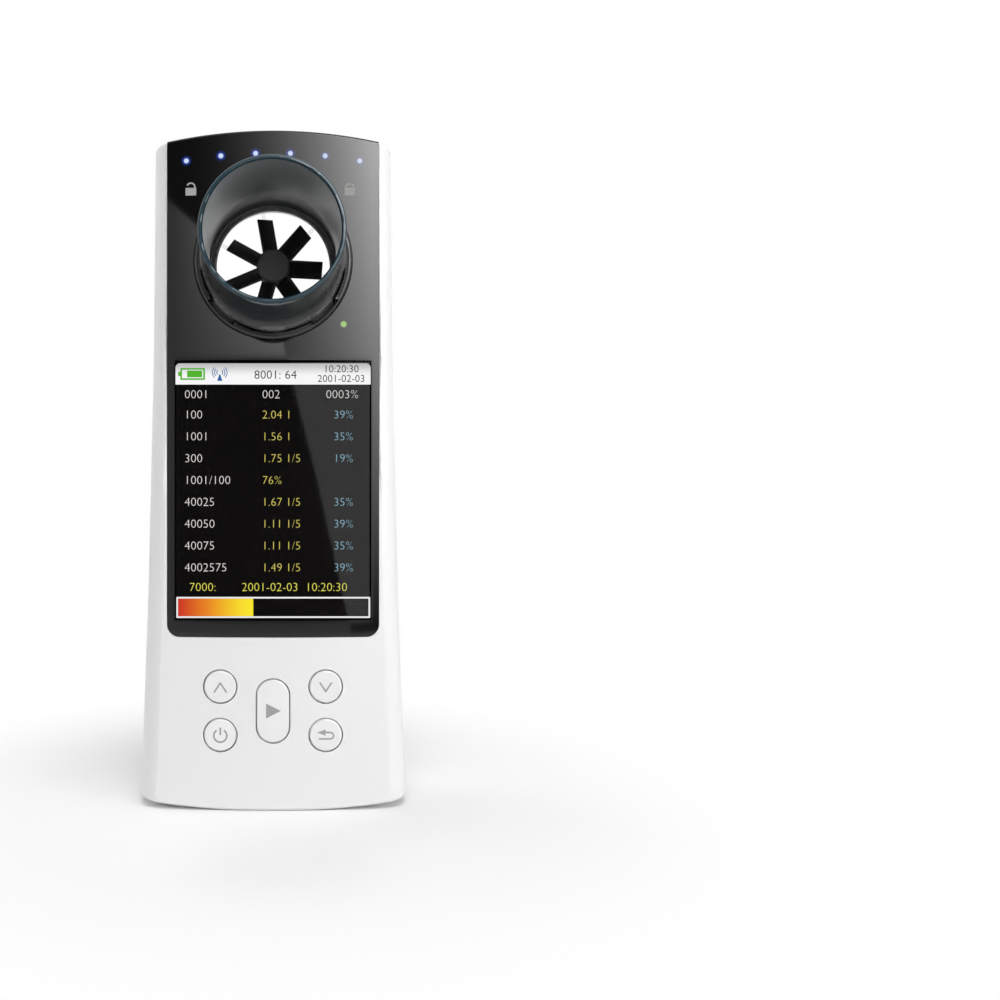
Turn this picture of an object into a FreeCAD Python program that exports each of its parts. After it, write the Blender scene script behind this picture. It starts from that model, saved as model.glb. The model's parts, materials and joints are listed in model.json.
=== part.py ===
import FreeCAD, Part
import math
import os
import Sketcher

# Hand-held turbine spirometer, upright, in millimetres.
# X runs across the case, Y from the display side to the back, Z up the case.
# The origin is the middle of the small flat land that the case stands on.

DOCUMENT = FreeCAD.newDocument("spirometer")
SHEET = DOCUMENT.addObject("Spreadsheet::Sheet", "Sizes")

CASE_SIZES = (
    ("case_height", 170.5, "base land to the crest of the top arch"),
    ("case_top_width", 60.2, "across the top corners"),
    ("case_base_width", 68.0, "across the bottom corners"),
    ("case_waist", 0.8, "how far each side bows inwards at mid height"),
    ("case_thickness", 26.0, "display crest to flat back"),
    ("crown_radius", 290.0, "curve of the front across the case"),
    ("top_arch_radius", 147.0, "curve of the top end"),
    ("base_arch_radius", 200.0, "curve of the bottom end beside the land"),
    ("land_width", 10.0, "flat that the case stands on"),
    ("front_round", 6.0, "long front edges"),
    ("back_round", 6.2, "long back edges"),
    ("end_round", 1.1, "edges of the two ends"),
    ("wall", 2.2, "case wall"),
    ("parting_depth", 14.0, "display crest to the parting line"),
    ("seam_gap", 0.25, "shadow gap at the parting line"),
    ("lip_height", 1.6, "rear shell lip inside the front shell"),
    ("lip_wall", 1.0, "thickness of that lip"),
    ("lip_gap", 0.15, "lip to the front shell wall"),
    ("fit_gap", 0.1, "a fixed piece in its recess"),
    ("back_trim", 0.01, "taken off the lofted back to leave it truly flat"),
)

PANEL_SIZES = (
    ("panel_width", 53.2, "black front panel"),
    ("panel_base", 43.5, "height of the panel's lower edge"),
    ("panel_corner", 3.1, "lower corners of the panel"),
    ("panel_depth", 2.2, "panel thickness at its crest"),
    ("panel_round", 0.9, "top edge of the panel"),
    ("backing", 1.8, "shell wall behind the panel"),
    ("screen_width", 48.8, "lit area of the display"),
    ("screen_base", 48.45, "height of the lit area's lower edge"),
    ("screen_drop", 58.35, "top of the case to the lit area's upper edge"),
    ("screen_side_border", 0.9, "display glass beside the lit area"),
    ("screen_base_border", 3.4, "display glass below the lit area"),
    ("screen_top_border", 1.8, "display glass above the lit area"),
    ("display_glass_depth", 1.0, "display cell"),
    ("display_tray_depth", 1.7, "metal tray with the backlight"),
    ("tray_wall", 0.8, "rim of the metal tray"),
    ("backlight_depth", 1.0, "light guide in the tray"),
    ("ribbon_width", 18.0, "display ribbon"),
    ("ribbon_depth", 0.3, "display ribbon"),
)

TURBINE_SIZES = (
    ("turbine_drop", 32.7, "top of the case to the turbine axis"),
    ("collar_radius", 19.8, "visible ring round the mouth tube"),
    ("collar_proud", 0.5, "ring in front of the panel crest"),
    ("collar_gap", 0.2, "ring in the panel hole"),
    ("collar_flange", 1.8, "hidden flange of the ring beyond its visible radius"),
    ("lip_radius", 18.3, "inner edge of the bayonet lips"),
    ("bayonet_lip", 1.7, "thickness of the bayonet lips"),
    ("lug_radius", 18.9, "outer face of the bayonet lugs"),
    ("lug_depth", 1.4, "thickness of the lugs"),
    ("lug_angle", 24.0, "width of each lug, in degrees"),
    ("lug_side_gap", 1.5, "play of a lug in its entry notch, in degrees"),
    ("lug_count", 4, "bayonet lugs"),
    ("lock_angle", 45.0, "twist from open to locked, in degrees"),
    ("stop_angle", 4.0, "width of each stop rib, in degrees"),
    ("moving_gap", 0.3, "between pieces that slide past each other"),
    ("turning_gap", 0.05, "between pieces that turn on each other"),
    ("socket_wall", 1.7, "wall of the turbine socket"),
    ("socket_flange", 2.0, "flange that seats on the front shell"),
    ("socket_flange_depth", 1.2, "thickness of that flange"),
    ("socket_end_depth", 23.2, "display crest to the end of the socket"),
    ("outlet_slope", 15.0, "flare of the outlet behind the rotor, in degrees"),
    ("outlet_radius", 19.6, "hole in the rear shell"),
    ("outlet_bevel", 1.2, "bevelled edge of that hole"),
    ("seal_depth", 0.6, "seal between socket and rear shell"),
    ("tube_reach", 30.0, "display crest to the mouth of the tube"),
    ("mouth_radius", 15.3, "bore that takes a 30 mm cardboard mouthpiece"),
    ("tube_wall", 1.1, "mouth tube wall"),
    ("tube_lip_bevel", 0.35, "bevelled lip of the mouth"),
    ("tube_bore_length", 22.0, "straight part of the mouth bore"),
    ("tube_taper", 0.4, "growth of the tube's outside down to its flare"),
    ("flare_reach", 10.0, "where the flare starts, before the display crest"),
    ("flare_end", 4.6, "where the flare ends, before the display crest"),
    ("sleeve_radius", 16.45, "insert that the tube turns on"),
    ("tube_socket_wall", 1.15, "tube wall round the insert"),
    ("tab_count", 8, "grip tabs round the foot of the tube"),
    ("tab_angle", 18.0, "width of each grip tab, in degrees"),
    ("tab_height", 0.35, "grip tab beyond the tube's foot"),
    ("tube_end_depth", 13.9, "display crest to the tube's inner end"),
    ("bead_height", 0.3, "snap bead in the tube"),
    ("bead_width", 0.6, "snap bead in the tube"),
    ("bead_depth", 10.9, "display crest to the middle of the bead"),
    ("nose_depth", 8.4, "display crest to the insert's front edge"),
    ("nose_radius", 15.4, "thin nose of the insert"),
    ("nose_length", 1.4, "thin nose of the insert"),
    ("throat_radius", 14.6, "narrowest bore of the airway"),
    ("throat_slope", 13.0, "flare of the insert's bore, in degrees"),
    ("insert_flange_radius", 17.9, "flange behind the tube"),
    ("insert_flange_depth", 2.3, "thickness of that flange"),
    ("carrier_seat_radius", 16.9, "seat of the rotor carrier"),
    ("key_height", 0.55, "rib that stops the insert from turning"),
    ("key_width", 2.0, "rib that stops the insert from turning"),
)

ROTOR_SIZES = (
    ("hub_radius", 4.3, "rotor hub"),
    ("hub_front_depth", 6.0, "display crest to the front of the hub cap"),
    ("hub_cap_depth", 1.2, "hub cap"),
    ("hub_cap_bevel", 0.3, "edge of the hub cap"),
    ("hub_length", 3.8, "hub behind its cap"),
    ("blade_count", 7, "rotor blades"),
    ("blade_tip_radius", 12.7, "rotor blades"),
    ("blade_chord", 4.9, "rotor blades"),
    ("blade_thickness", 0.5, "rotor blades"),
    ("blade_pitch", 50.0, "blade angle from the axis, in degrees"),
    ("blade_phase", -3.0, "angle of the first blade above the +X side, in degrees"),
    ("pin_radius", 0.5, "steel axle pin"),
    ("pin_head_radius", 1.0, "head that keeps the rotor on"),
    ("pin_head_depth", 0.4, "head that keeps the rotor on"),
    ("pin_end_gap", 0.1, "end play of the rotor"),
    ("bush_radius", 1.5, "bearing bush"),
    ("bush_length", 1.2, "bearing bush"),
    ("carrier_boss_radius", 2.4, "boss that holds the axle pin"),
    ("carrier_tip_radius", 1.0, "thrust face of that boss"),
    ("carrier_tip_length", 0.7, "thrust face of that boss"),
    ("carrier_arm_width", 1.0, "arms behind the blades"),
    ("carrier_arm_depth", 1.2, "arms behind the blades"),
    ("carrier_rim_wall", 0.7, "rim of the rotor carrier"),
    ("carrier_rim_depth", 1.6, "rim of the rotor carrier"),
)

KEY_SIZES = (
    ("key_spread", 13.2, "round keys beside the middle line"),
    ("key_low_height", 19.0, "lower pair of keys"),
    ("key_high_height", 31.1, "upper pair of keys"),
    ("key_radius", 4.1, "round keys"),
    ("pill_width", 8.2, "middle key"),
    ("pill_length", 15.9, "middle key"),
    ("key_gap", 0.25, "key in its hole"),
    ("key_flange", 1.0, "rim that keeps a key in"),
    ("key_flange_depth", 0.8, "rim that keeps a key in"),
    ("key_edge_chamfer", 0.35, "front edge of a key"),
    ("key_bay_depth", 2.5, "display crest to the back of the wall at the keys"),
    ("key_bay_width", 40.0, "thin-walled bay behind the keys"),
    ("key_bay_margin", 2.2, "bay beyond the key rims"),
    ("key_rest_gap", 0.1, "key rim behind the wall"),
    ("plunger_radius", 1.4, "post that presses the switch"),
    ("plunger_overlap", 0.5, "post inside the switch at rest"),
    ("switch_width", 6.0, "tactile switch"),
    ("switch_height", 3.1, "tactile switch"),
    ("switch_gap", 0.2, "post in the switch well"),
    ("switch_floor", 0.9, "switch under its well"),
)

INNER_SIZES = (
    ("board_depth", 8.2, "display crest to the main board's front"),
    ("board_thickness", 1.2, "circuit boards"),
    ("board_width", 51.0, "main board"),
    ("board_base", 12.3, "main board's lower edge"),
    ("board_drop", 58.0, "top of the case to the main board's upper edge"),
    ("post_spread", 23.2, "board posts beside the middle line"),
    ("post_low_height", 15.5, "lower pair of board posts"),
    ("post_high_height", 42.0, "upper pair of board posts"),
    ("post_radius", 2.2, "board posts"),
    ("pilot_radius", 0.8, "screw hole in a post or boss"),
    ("board_screw_radius", 0.75, "board screws"),
    ("board_screw_head", 1.7, "board screws"),
    ("board_screw_length", 5.0, "board screws"),
    ("head_height", 1.2, "screw heads"),
    ("boss_low_spread", 25.2, "lower case screws beside the middle line"),
    ("boss_low_height", 9.0, "lower case screws"),
    ("boss_high_spread", 21.9, "upper case screws beside the middle line"),
    ("boss_high_drop", 15.5, "top of the case to the upper case screws"),
    ("boss_radius", 2.9, "case screw bosses"),
    ("case_screw_radius", 1.0, "case screws"),
    ("case_screw_head", 1.9, "case screws"),
    ("case_screw_bite", 6.5, "case screw inside the front shell's boss"),
    ("counterbore_radius", 2.2, "recess of a case screw's head"),
    ("boss_floor", 2.0, "plastic under a case screw's head"),
    ("drive_width", 0.5, "cross recess of a screw"),
    ("drive_depth", 0.7, "cross recess of a screw"),
    ("battery_width", 38.0, "lithium cell"),
    ("battery_drop", 66.5, "top of the case to the cell's upper edge"),
    ("battery_depth", 6.0, "lithium cell"),
    ("battery_base", 44.0, "lithium cell's lower edge"),
    ("battery_round", 1.5, "edges of the cell"),
    ("battery_tape", 0.3, "cell to the back wall"),
    ("rib_wall", 1.2, "ribs that hold the cell"),
    ("rib_height", 3.5, "ribs that hold the cell"),
    ("port_height", 36.0, "charging port above the base land"),
    ("port_width", 7.6, "charging port, along the case"),
    ("port_depth", 2.7, "charging port, front to back"),
    ("port_length", 5.6, "charging port shell"),
    ("port_inset", 0.6, "port mouth inside the case's side"),
    ("port_margin", 0.4, "opening round the port"),
    ("port_wall", 0.35, "charging port shell"),
    ("port_tongue", 0.7, "contact tongue in the port"),
    ("buzzer_radius", 4.5, "buzzer"),
    ("buzzer_depth", 2.5, "buzzer"),
    ("buzzer_height", 28.0, "buzzer above the base land"),
    ("buzzer_spread", 14.0, "buzzer beside the middle line"),
    ("sound_hole_radius", 0.6, "sound holes in the back"),
    ("sound_hole_pitch", 2.4, "sound holes in the back"),
    ("radio_width", 12.0, "radio module"),
    ("radio_height", 15.0, "radio module"),
    ("radio_depth", 1.8, "radio module"),
    ("radio_base", 18.0, "radio module's lower edge"),
    ("processor_width", 12.0, "main processor"),
    ("processor_depth", 1.4, "main processor"),
    ("processor_base", 64.0, "main processor's lower edge"),
    ("plug_width", 6.0, "battery connector"),
    ("plug_height", 4.0, "battery connector"),
    ("plug_depth", 3.0, "battery connector"),
    ("plug_base", 35.0, "battery connector's lower edge"),
    ("sensor_ring_width", 3.6, "ring board round the socket"),
    ("sensor_depth", 11.4, "display crest to the ring board's front"),
    ("ring_seat_width", 1.5, "socket rim that the ring board sits on"),
    ("sensor_count", 3, "infrared emitters, and as many receivers"),
    ("sensor_width", 3.6, "infrared part"),
    ("sensor_length", 3.0, "infrared part, outwards"),
    ("sensor_height", 3.4, "infrared part, forwards"),
    ("sensor_inset", 0.4, "infrared part inside the socket's bore surface"),
    ("lamp_radius", 0.95, "status lamps"),
    ("lamp_pitch", 8.7, "status lamps, one to the next"),
    ("lamp_drop", 5.9, "status lamps below the top edge"),
    ("lamp_chip", 1.6, "light-emitting chip behind a lamp"),
    ("lamp_chip_depth", 0.8, "light-emitting chip behind a lamp"),
    ("lamp_board_depth", 6.6, "display crest to the lamp board's front"),
    ("lamp_board_height", 5.6, "lamp board"),
    ("lamp_board_margin", 1.4, "lamp board beyond the outer lamps"),
    ("charge_lamp_across", 17.7, "charge lamp beside the middle line"),
    ("charge_lamp_below", 15.9, "charge lamp below the turbine axis"),
    ("charge_lamp_radius", 0.8, "charge lamp"),
)


class Size:
    """A number that carries the sheet formula it comes from."""

    def __init__(self, number, formula):
        self.number = float(number)
        self.formula = formula

    def __add__(self, other):
        other = as_size(other)
        return Size(self.number + other.number, "(%s + %s)" % (self.formula, other.formula))

    def __radd__(self, other):
        return as_size(other) + self

    def __sub__(self, other):
        other = as_size(other)
        return Size(self.number - other.number, "(%s - %s)" % (self.formula, other.formula))

    def __rsub__(self, other):
        return as_size(other) - self

    def __mul__(self, other):
        other = as_size(other)
        return Size(self.number * other.number, "%s * %s" % (self.formula, other.formula))

    def __rmul__(self, other):
        return as_size(other) * self

    def __truediv__(self, other):
        other = as_size(other)
        return Size(self.number / other.number, "(%s / %s)" % (self.formula, other.formula))

    def __rtruediv__(self, other):
        return as_size(other) / self

    def __neg__(self):
        return Size(-self.number, "(0 - %s)" % self.formula)


def as_size(value):
    if isinstance(value, Size):
        return value
    return Size(value, "(%r)" % float(value))


def root(value):
    return Size(math.sqrt(value.number), "sqrt(%s)" % value.formula)


def sine(angle):
    angle = as_size(angle)
    return Size(math.sin(math.radians(angle.number)), "sin(%s)" % angle.formula)


def cosine(angle):
    angle = as_size(angle)
    return Size(math.cos(math.radians(angle.number)), "cos(%s)" % angle.formula)


def tangent(angle):
    angle = as_size(angle)
    return Size(math.tan(math.radians(angle.number)), "tan(%s)" % angle.formula)


class Sizes:
    """Every driving size by its name in the sheet."""


S = Sizes()


def fill_sheet():
    """Write the driving sizes to the sheet, one row each, and keep them by name."""
    row = 1
    for group in (CASE_SIZES, PANEL_SIZES, TURBINE_SIZES, ROTOR_SIZES, KEY_SIZES, INNER_SIZES):
        for alias, number, meaning in group:
            SHEET.set("A%d" % row, alias)
            SHEET.set("B%d" % row, str(number))
            SHEET.set("C%d" % row, meaning)
            SHEET.setAlias("B%d" % row, alias)
            setattr(S, alias, Size(number, "Sizes." + alias))
            row += 1
    DOCUMENT.recompute()


fill_sheet()

ZERO = Size(0, "0")
FULL_TURN = 360.0
QUARTER_TURN = 90.0
BAND_COUNT = 3

# Heights of what keeps its distance from the top of the case
TURBINE_HEIGHT = S.case_height - S.turbine_drop
SCREEN_TOP = S.case_height - S.screen_drop
BOARD_TOP = S.case_height - S.board_drop
BATTERY_TOP = S.case_height - S.battery_drop
BOSS_HIGH_HEIGHT = S.case_height - S.boss_high_drop
CHARGE_LAMP_HEIGHT = TURBINE_HEIGHT - S.charge_lamp_below

# Depths, measured from the crest of the display side
FRONT = -S.case_thickness / 2
BACK = S.case_thickness / 2
LOFT_BACK = BACK + S.back_trim
PARTING = FRONT + S.parting_depth
PANEL_BACK = FRONT + S.panel_depth
CAVITY_FRONT = PANEL_BACK + S.backing
CAVITY_BACK = BACK - S.wall
KEY_WALL_BACK = FRONT + S.key_bay_depth
BOARD_FRONT = FRONT + S.board_depth
BOARD_BACK = BOARD_FRONT + S.board_thickness
GLASS_BACK = PANEL_BACK + S.fit_gap + S.display_glass_depth
TRAY_BACK = GLASS_BACK + S.display_tray_depth
LAMP_BOARD_FRONT = FRONT + S.lamp_board_depth
SENSOR_BOARD_FRONT = FRONT + S.sensor_depth
SOCKET_END = FRONT + S.socket_end_depth
SEAL_END = SOCKET_END + S.seal_depth

# Turbine radii that follow from the fits
FOOT_BORE = S.sleeve_radius + S.turning_gap
FOOT_RADIUS = FOOT_BORE + S.tube_socket_wall
TAB_RADIUS = FOOT_RADIUS + S.tab_height
SOCKET_BORE = S.lug_radius + S.moving_gap
SOCKET_RADIUS = SOCKET_BORE + S.socket_wall
COLLAR_FLANGE_RADIUS = S.collar_radius + S.collar_flange
INSERT_BORE = S.insert_flange_radius + S.moving_gap

# Places of the mouth tube, insert and rotor along the axis
TUBE_MOUTH = FRONT - S.tube_reach
TUBE_END = FRONT + S.tube_end_depth
INSERT_NOSE = FRONT + S.nose_depth
FLANGE_FRONT = TUBE_END + S.fit_gap
FLANGE_BACK = FLANGE_FRONT + S.insert_flange_depth
HUB_FRONT = FRONT + S.hub_front_depth + S.hub_cap_depth
HUB_BACK = HUB_FRONT + S.hub_length
BLADE_MIDDLE = (HUB_FRONT + HUB_BACK) / 2
CARRIER_TIP = HUB_BACK + S.pin_end_gap
CARRIER_FRONT = CARRIER_TIP + S.carrier_tip_length
CARRIER_SEAT = FLANGE_BACK - S.carrier_rim_depth


def bind(item, place, value):
    """Tie one property of an object to the sheet."""
    item.setExpression(place, as_size(value).formula)


def origin_part(body, role):
    for part in body.Origin.OriginFeatures:
        if part.Role == role:
            return part
    raise RuntimeError("no " + role)


def new_body(label, height=None):
    """A body for one piece; height lifts its origin, as for what sits on the turbine axis."""
    body = DOCUMENT.addObject("PartDesign::Body", label)
    body.Label = label
    if height is not None:
        bind(body, "Placement.Base.z", height)
    return body


def turbine_body(label):
    return new_body(label, TURBINE_HEIGHT)


def sketch(body, name, role="XZ_Plane", level=ZERO):
    """A sketch parallel to a plane of the body, at a depth, height or distance across."""
    item = body.newObject("Sketcher::SketchObject", name)
    item.AttachmentSupport = [(origin_part(body, role), "")]
    item.MapMode = "FlatFace"
    bind(item, "AttachmentOffset.Base.z", -level if role == "XZ_Plane" else level)
    return item


def hold(item, geometry, point, across, up):
    """Fix one point of a sketch by its two coordinates."""
    for kind, value in (("DistanceX", across), ("DistanceY", up)):
        value = as_size(value)
        index = item.addConstraint(Sketcher.Constraint(kind, -1, 1, geometry, point, value.number))
        bind(item, "Constraints[%d]" % index, value)


def hold_radius(item, geometry, radius):
    index = item.addConstraint(Sketcher.Constraint("Radius", geometry, radius.number))
    bind(item, "Constraints[%d]" % index, radius)


def circle(item, across, up, radius):
    across, up, radius = as_size(across), as_size(up), as_size(radius)
    centre = FreeCAD.Vector(across.number, up.number, 0)
    normal = FreeCAD.Vector(0, 0, 1)
    index = item.addGeometry(Part.Circle(centre, normal, radius.number), False)
    hold(item, index, 3, across, up)
    hold_radius(item, index, radius)


def bend(start, end, radius, side):
    """The arc from start to end whose centre lies to the given side of the way there."""
    chord = end - start
    middle = (start + end) * 0.5
    across = FreeCAD.Vector(-chord.y, chord.x, 0).normalize()
    rise = math.sqrt(radius ** 2 - (chord.Length / 2) ** 2)
    sign = 1 if side == "left" else -1
    centre = middle + across * rise * sign
    angles = [math.atan2(point.y - centre.y, point.x - centre.x) for point in (start, end)]
    if side == "right":
        angles.reverse()
    whole = Part.Circle(centre, FreeCAD.Vector(0, 0, 1), radius)
    return Part.ArcOfCircle(whole, angles[0], angles[1])


def outline(item, corners, bends=None):
    """A closed profile through the corners.

    bends makes the stretch that leaves a corner an arc: corner number to (radius, side).
    """
    bends = bends or {}
    corners = [(as_size(across), as_size(up)) for across, up in corners]
    points = [FreeCAD.Vector(across.number, up.number, 0) for across, up in corners]
    starts, ends = [], []
    for number, point in enumerate(points):
        following = points[(number + 1) % len(points)]
        if number in bends:
            radius, side = bends[number]
            curve = bend(point, following, as_size(radius).number, side)
            start, end = (1, 2) if side == "left" else (2, 1)
        else:
            curve = Part.LineSegment(point, following)
            start, end = 1, 2
        index = item.addGeometry(curve, False)
        starts.append((index, start))
        ends.append((index, end))
    for number, (index, end) in enumerate(ends):
        following, start = starts[(number + 1) % len(points)]
        item.addConstraint(Sketcher.Constraint("Coincident", index, end, following, start))
    for number, (index, start) in enumerate(starts):
        hold(item, index, start, *corners[number])
        if number in bends:
            hold_radius(item, index, as_size(bends[number][0]))


def rectangle(item, left, right, low, high):
    outline(item, [(left, low), (right, low), (right, high), (left, high)])


def rounded_rectangle(item, left, right, low, high, corner):
    inner_left, inner_right = left + corner, right - corner
    inner_low, inner_high = low + corner, high - corner
    corners = [
        (inner_left, low), (inner_right, low), (right, inner_low), (right, inner_high),
        (inner_right, high), (inner_left, high), (left, inner_high), (left, inner_low),
    ]
    outline(item, corners, {number: (corner, "left") for number in (1, 3, 5, 7)})


def sector(item, middle_angle, width_angle, inner, outer):
    """A piece of a ring round the sketch's origin."""
    low = as_size(middle_angle) - as_size(width_angle) / 2
    high = as_size(middle_angle) + as_size(width_angle) / 2
    corners = [
        (inner * cosine(low), inner * sine(low)), (outer * cosine(low), outer * sine(low)),
        (outer * cosine(high), outer * sine(high)), (inner * cosine(high), inner * sine(high)),
    ]
    outline(item, corners, {1: (outer, "left"), 3: (inner, "right")})


def feature(body, kind, name, profile):
    item = body.newObject("PartDesign::" + kind, name)
    item.Profile = profile
    return item


def settle(body, item):
    """Recompute, and stop if the newest feature failed."""
    DOCUMENT.recompute()
    if "Invalid" in item.State or "Error" in item.State or item.Shape.isNull():
        raise RuntimeError("%s: %s failed" % (body.Label, item.Name))
    return item


def pad(body, name, profile, length, backwards=False):
    """Add material towards the front (or up, or across), or the other way."""
    item = feature(body, "Pad", name, profile)
    bind(item, "Length", length)
    item.Reversed = backwards
    return settle(body, item)


def cut(body, name, profile, length, forwards=False, both=False):
    """Remove material towards the back (or down), or the other way, or both ways."""
    before = body.Tip.Shape.Volume
    item = feature(body, "Pocket", name, profile)
    bind(item, "Length", length)
    item.Reversed = forwards
    if both:
        item.Midplane = True
    settle(body, item)
    if not item.Shape.Volume < before:
        raise RuntimeError("%s: %s removes nothing" % (body.Label, name))
    return item


def turn(body, name, profile, kind="Revolution"):
    """Revolve a profile of (depth, radius) about the body's own Y axis."""
    before = body.Tip.Shape.Volume if kind == "Groove" else 0
    item = feature(body, kind, name, profile)
    item.ReferenceAxis = (origin_part(body, "Y_Axis"), [""])
    item.Angle = FULL_TURN
    settle(body, item)
    if kind == "Groove" and not item.Shape.Volume < before:
        raise RuntimeError("%s: %s removes nothing" % (body.Label, name))
    return item


def repeat(body, name, original, count):
    """Copies of a feature, evenly spaced about the body's own Y axis."""
    item = body.newObject("PartDesign::PolarPattern", name)
    item.Originals = [original]
    item.Axis = (origin_part(body, "Y_Axis"), [""])
    item.Angle = FULL_TURN
    bind(item, "Occurrences", count)
    body.Tip = item
    return settle(body, item)


def dress(body, kind, name, size_name, size, chosen):
    """Round or bevel the edges that chosen picks."""
    base = body.Tip
    edges = ["Edge%d" % (n + 1) for n, edge in enumerate(base.Shape.Edges) if chosen(edge)]
    if not edges:
        raise RuntimeError("%s: %s finds no edge" % (body.Label, name))
    item = body.newObject("PartDesign::" + kind, name)
    item.Base = (base, edges)
    bind(item, size_name, size)
    return settle(body, item)


def round_edges(body, name, radius, chosen):
    return dress(body, "Fillet", name, "Radius", radius, chosen)


def bevel_edges(body, name, size, chosen):
    return dress(body, "Chamfer", name, "Size", size, chosen)


def place(item, across, depth, height):
    bind(item, "Placement.Base.x", across)
    bind(item, "Placement.Base.y", depth)
    bind(item, "Placement.Base.z", height)


def box(name, left, right, front, back, low, high):
    item = DOCUMENT.addObject("Part::Box", name)
    bind(item, "Length", right - left)
    bind(item, "Width", back - front)
    bind(item, "Height", high - low)
    place(item, left, front, low)
    return item


def rod(name, radius, front, length, across, height):
    """A cylinder along Y that starts at a depth."""
    item = DOCUMENT.addObject("Part::Cylinder", name)
    bind(item, "Radius", radius)
    bind(item, "Height", length)
    item.Placement.Rotation = FreeCAD.Rotation(FreeCAD.Vector(1, 0, 0), -QUARTER_TURN)
    place(item, across, front, height)
    return item


def fuse(name, items):
    result = DOCUMENT.addObject("Part::MultiFuse", name)
    result.Shapes = items
    return result


def difference(name, base, tool):
    result = DOCUMENT.addObject("Part::Cut", name)
    result.Base = base
    result.Tool = tool
    return result


def collection(label, items):
    """Separate solids that share one node."""
    result = DOCUMENT.addObject("Part::Compound", label)
    result.Label = label
    result.Links = items
    return result


# Case shells

def case_outline(item, inset=ZERO):
    """The case's front outline: a top arch, two bowed sides and an arched base with a flat land."""
    half_top = S.case_top_width / 2 - inset
    half_base = S.case_base_width / 2 - inset
    half_land = S.land_width / 2
    top_radius = S.top_arch_radius - inset
    base_radius = S.base_arch_radius - inset
    top_corner = S.case_height - S.top_arch_radius + root(top_radius * top_radius - half_top * half_top)
    run = half_base - half_land
    base_corner = S.base_arch_radius - root(base_radius * base_radius - run * run)
    lean = half_base - half_top
    rise = top_corner - base_corner
    half_chord_squared = (lean * lean + rise * rise) / 4
    side_radius = (half_chord_squared + S.case_waist * S.case_waist) / (S.case_waist * 2)
    corners = [
        (-half_land, inset), (half_land, inset), (half_base, base_corner),
        (half_top, top_corner), (-half_top, top_corner), (-half_base, base_corner),
    ]
    bends = {
        1: (base_radius, "left"), 2: (side_radius, "right"), 3: (top_radius, "left"),
        4: (side_radius, "right"), 5: (base_radius, "left"),
    }
    outline(item, corners, bends)


def half_width_at(height):
    """Half the case's width at a height: it narrows upwards and each side bows inwards."""
    half_base = S.case_base_width / 2
    lean = (S.case_base_width - S.case_top_width) / 2
    part_way = height / S.case_height
    return half_base - lean * part_way - S.case_waist * 4 * part_way * (1 - part_way)


def front_plan(item, half):
    """The front shell cut across at one height: crown, two round corners, straight sides."""
    crown, corner = S.crown_radius, S.front_round
    centre = FRONT + crown
    rise = root((crown - corner) * (crown - corner) - (half - corner) * (half - corner))
    touch_across = (half - corner) * crown / (crown - corner)
    touch_depth = centre - rise * crown / (crown - corner)
    corners = [
        (-touch_across, touch_depth), (touch_across, touch_depth), (half, centre - rise),
        (half, PARTING), (-half, PARTING), (-half, centre - rise),
    ]
    outline(item, corners, {0: (crown, "left"), 1: (corner, "left"), 5: (corner, "left")})


def rear_plan(item, half):
    """The rear shell cut across at one height: straight sides, two round corners, flat back."""
    corner = S.back_round
    seam = PARTING + S.seam_gap
    corners = [
        (-half, seam), (half, seam), (half, LOFT_BACK - corner), (half - corner, LOFT_BACK),
        (-half + corner, LOFT_BACK), (-half, LOFT_BACK - corner),
    ]
    outline(item, corners, {2: (corner, "left"), 4: (corner, "left")})


def case_block(body, plan):
    """Straight bands between plans at even heights, then both ends trimmed to their arches."""
    sections = []
    span = S.case_height + S.wall * 2
    for band in range(BAND_COUNT + 1):
        height = span * (band / BAND_COUNT) - S.wall
        item = sketch(body, "plan_%d" % (band + 1), "XY_Plane", height)
        plan(item, half_width_at(height))
        sections.append(item)
    block = feature(body, "AdditiveLoft", "block", sections[0])
    block.Sections = [(item, [""]) for item in sections[1:]]
    block.Ruled = True
    settle(body, block)

    reach = S.case_base_width / 2 + S.wall
    half_land = S.land_width / 2
    over = S.case_height + S.wall * 2
    under = -S.wall * 2
    run = reach - half_land
    high = S.case_height - S.top_arch_radius + root(S.top_arch_radius * S.top_arch_radius - reach * reach)
    low = S.base_arch_radius - root(S.base_arch_radius * S.base_arch_radius - run * run)
    item = sketch(body, "ends_profile")
    outline(item, [(-reach, high), (reach, high), (reach, over), (-reach, over)],
            {0: (S.top_arch_radius, "right")})
    corners = [
        (-half_land, ZERO), (half_land, ZERO), (reach, low), (reach, under), (-reach, under), (-reach, low),
    ]
    outline(item, corners, {1: (S.base_arch_radius, "left"), 5: (S.base_arch_radius, "left")})
    return cut(body, "ends", item, S.case_thickness * 2, both=True)


def crown_cut(body):
    """Shape the front to its gentle curve across the case."""
    reach = S.case_base_width / 2 + S.wall
    drop = S.crown_radius - root(S.crown_radius * S.crown_radius - reach * reach)
    proud = FRONT - S.wall
    item = sketch(body, "crown_profile", "XY_Plane", S.case_height / 2)
    corners = [(-reach, FRONT + drop), (-reach, proud), (reach, proud), (reach, FRONT + drop)]
    outline(item, corners, {3: (S.crown_radius, "right")})
    return cut(body, "crown", item, S.case_height * 2, both=True)


def is_long(edge):
    return edge.BoundBox.ZLength > S.case_height.number / 2


def at_depth(edge, depth):
    bounds = edge.BoundBox
    return abs(bounds.YMin - depth.number) < 0.01 and abs(bounds.YMax - depth.number) < 0.01


def at_case_end(edge):
    """True for the edges where the case's ends meet its front, back and sides."""
    bounds = edge.BoundBox
    top_corner = S.case_height.number - S.case_top_width.number / 4
    base_corner = S.case_base_width.number / 4
    return bounds.ZMin > top_corner or bounds.ZMax < base_corner


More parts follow.
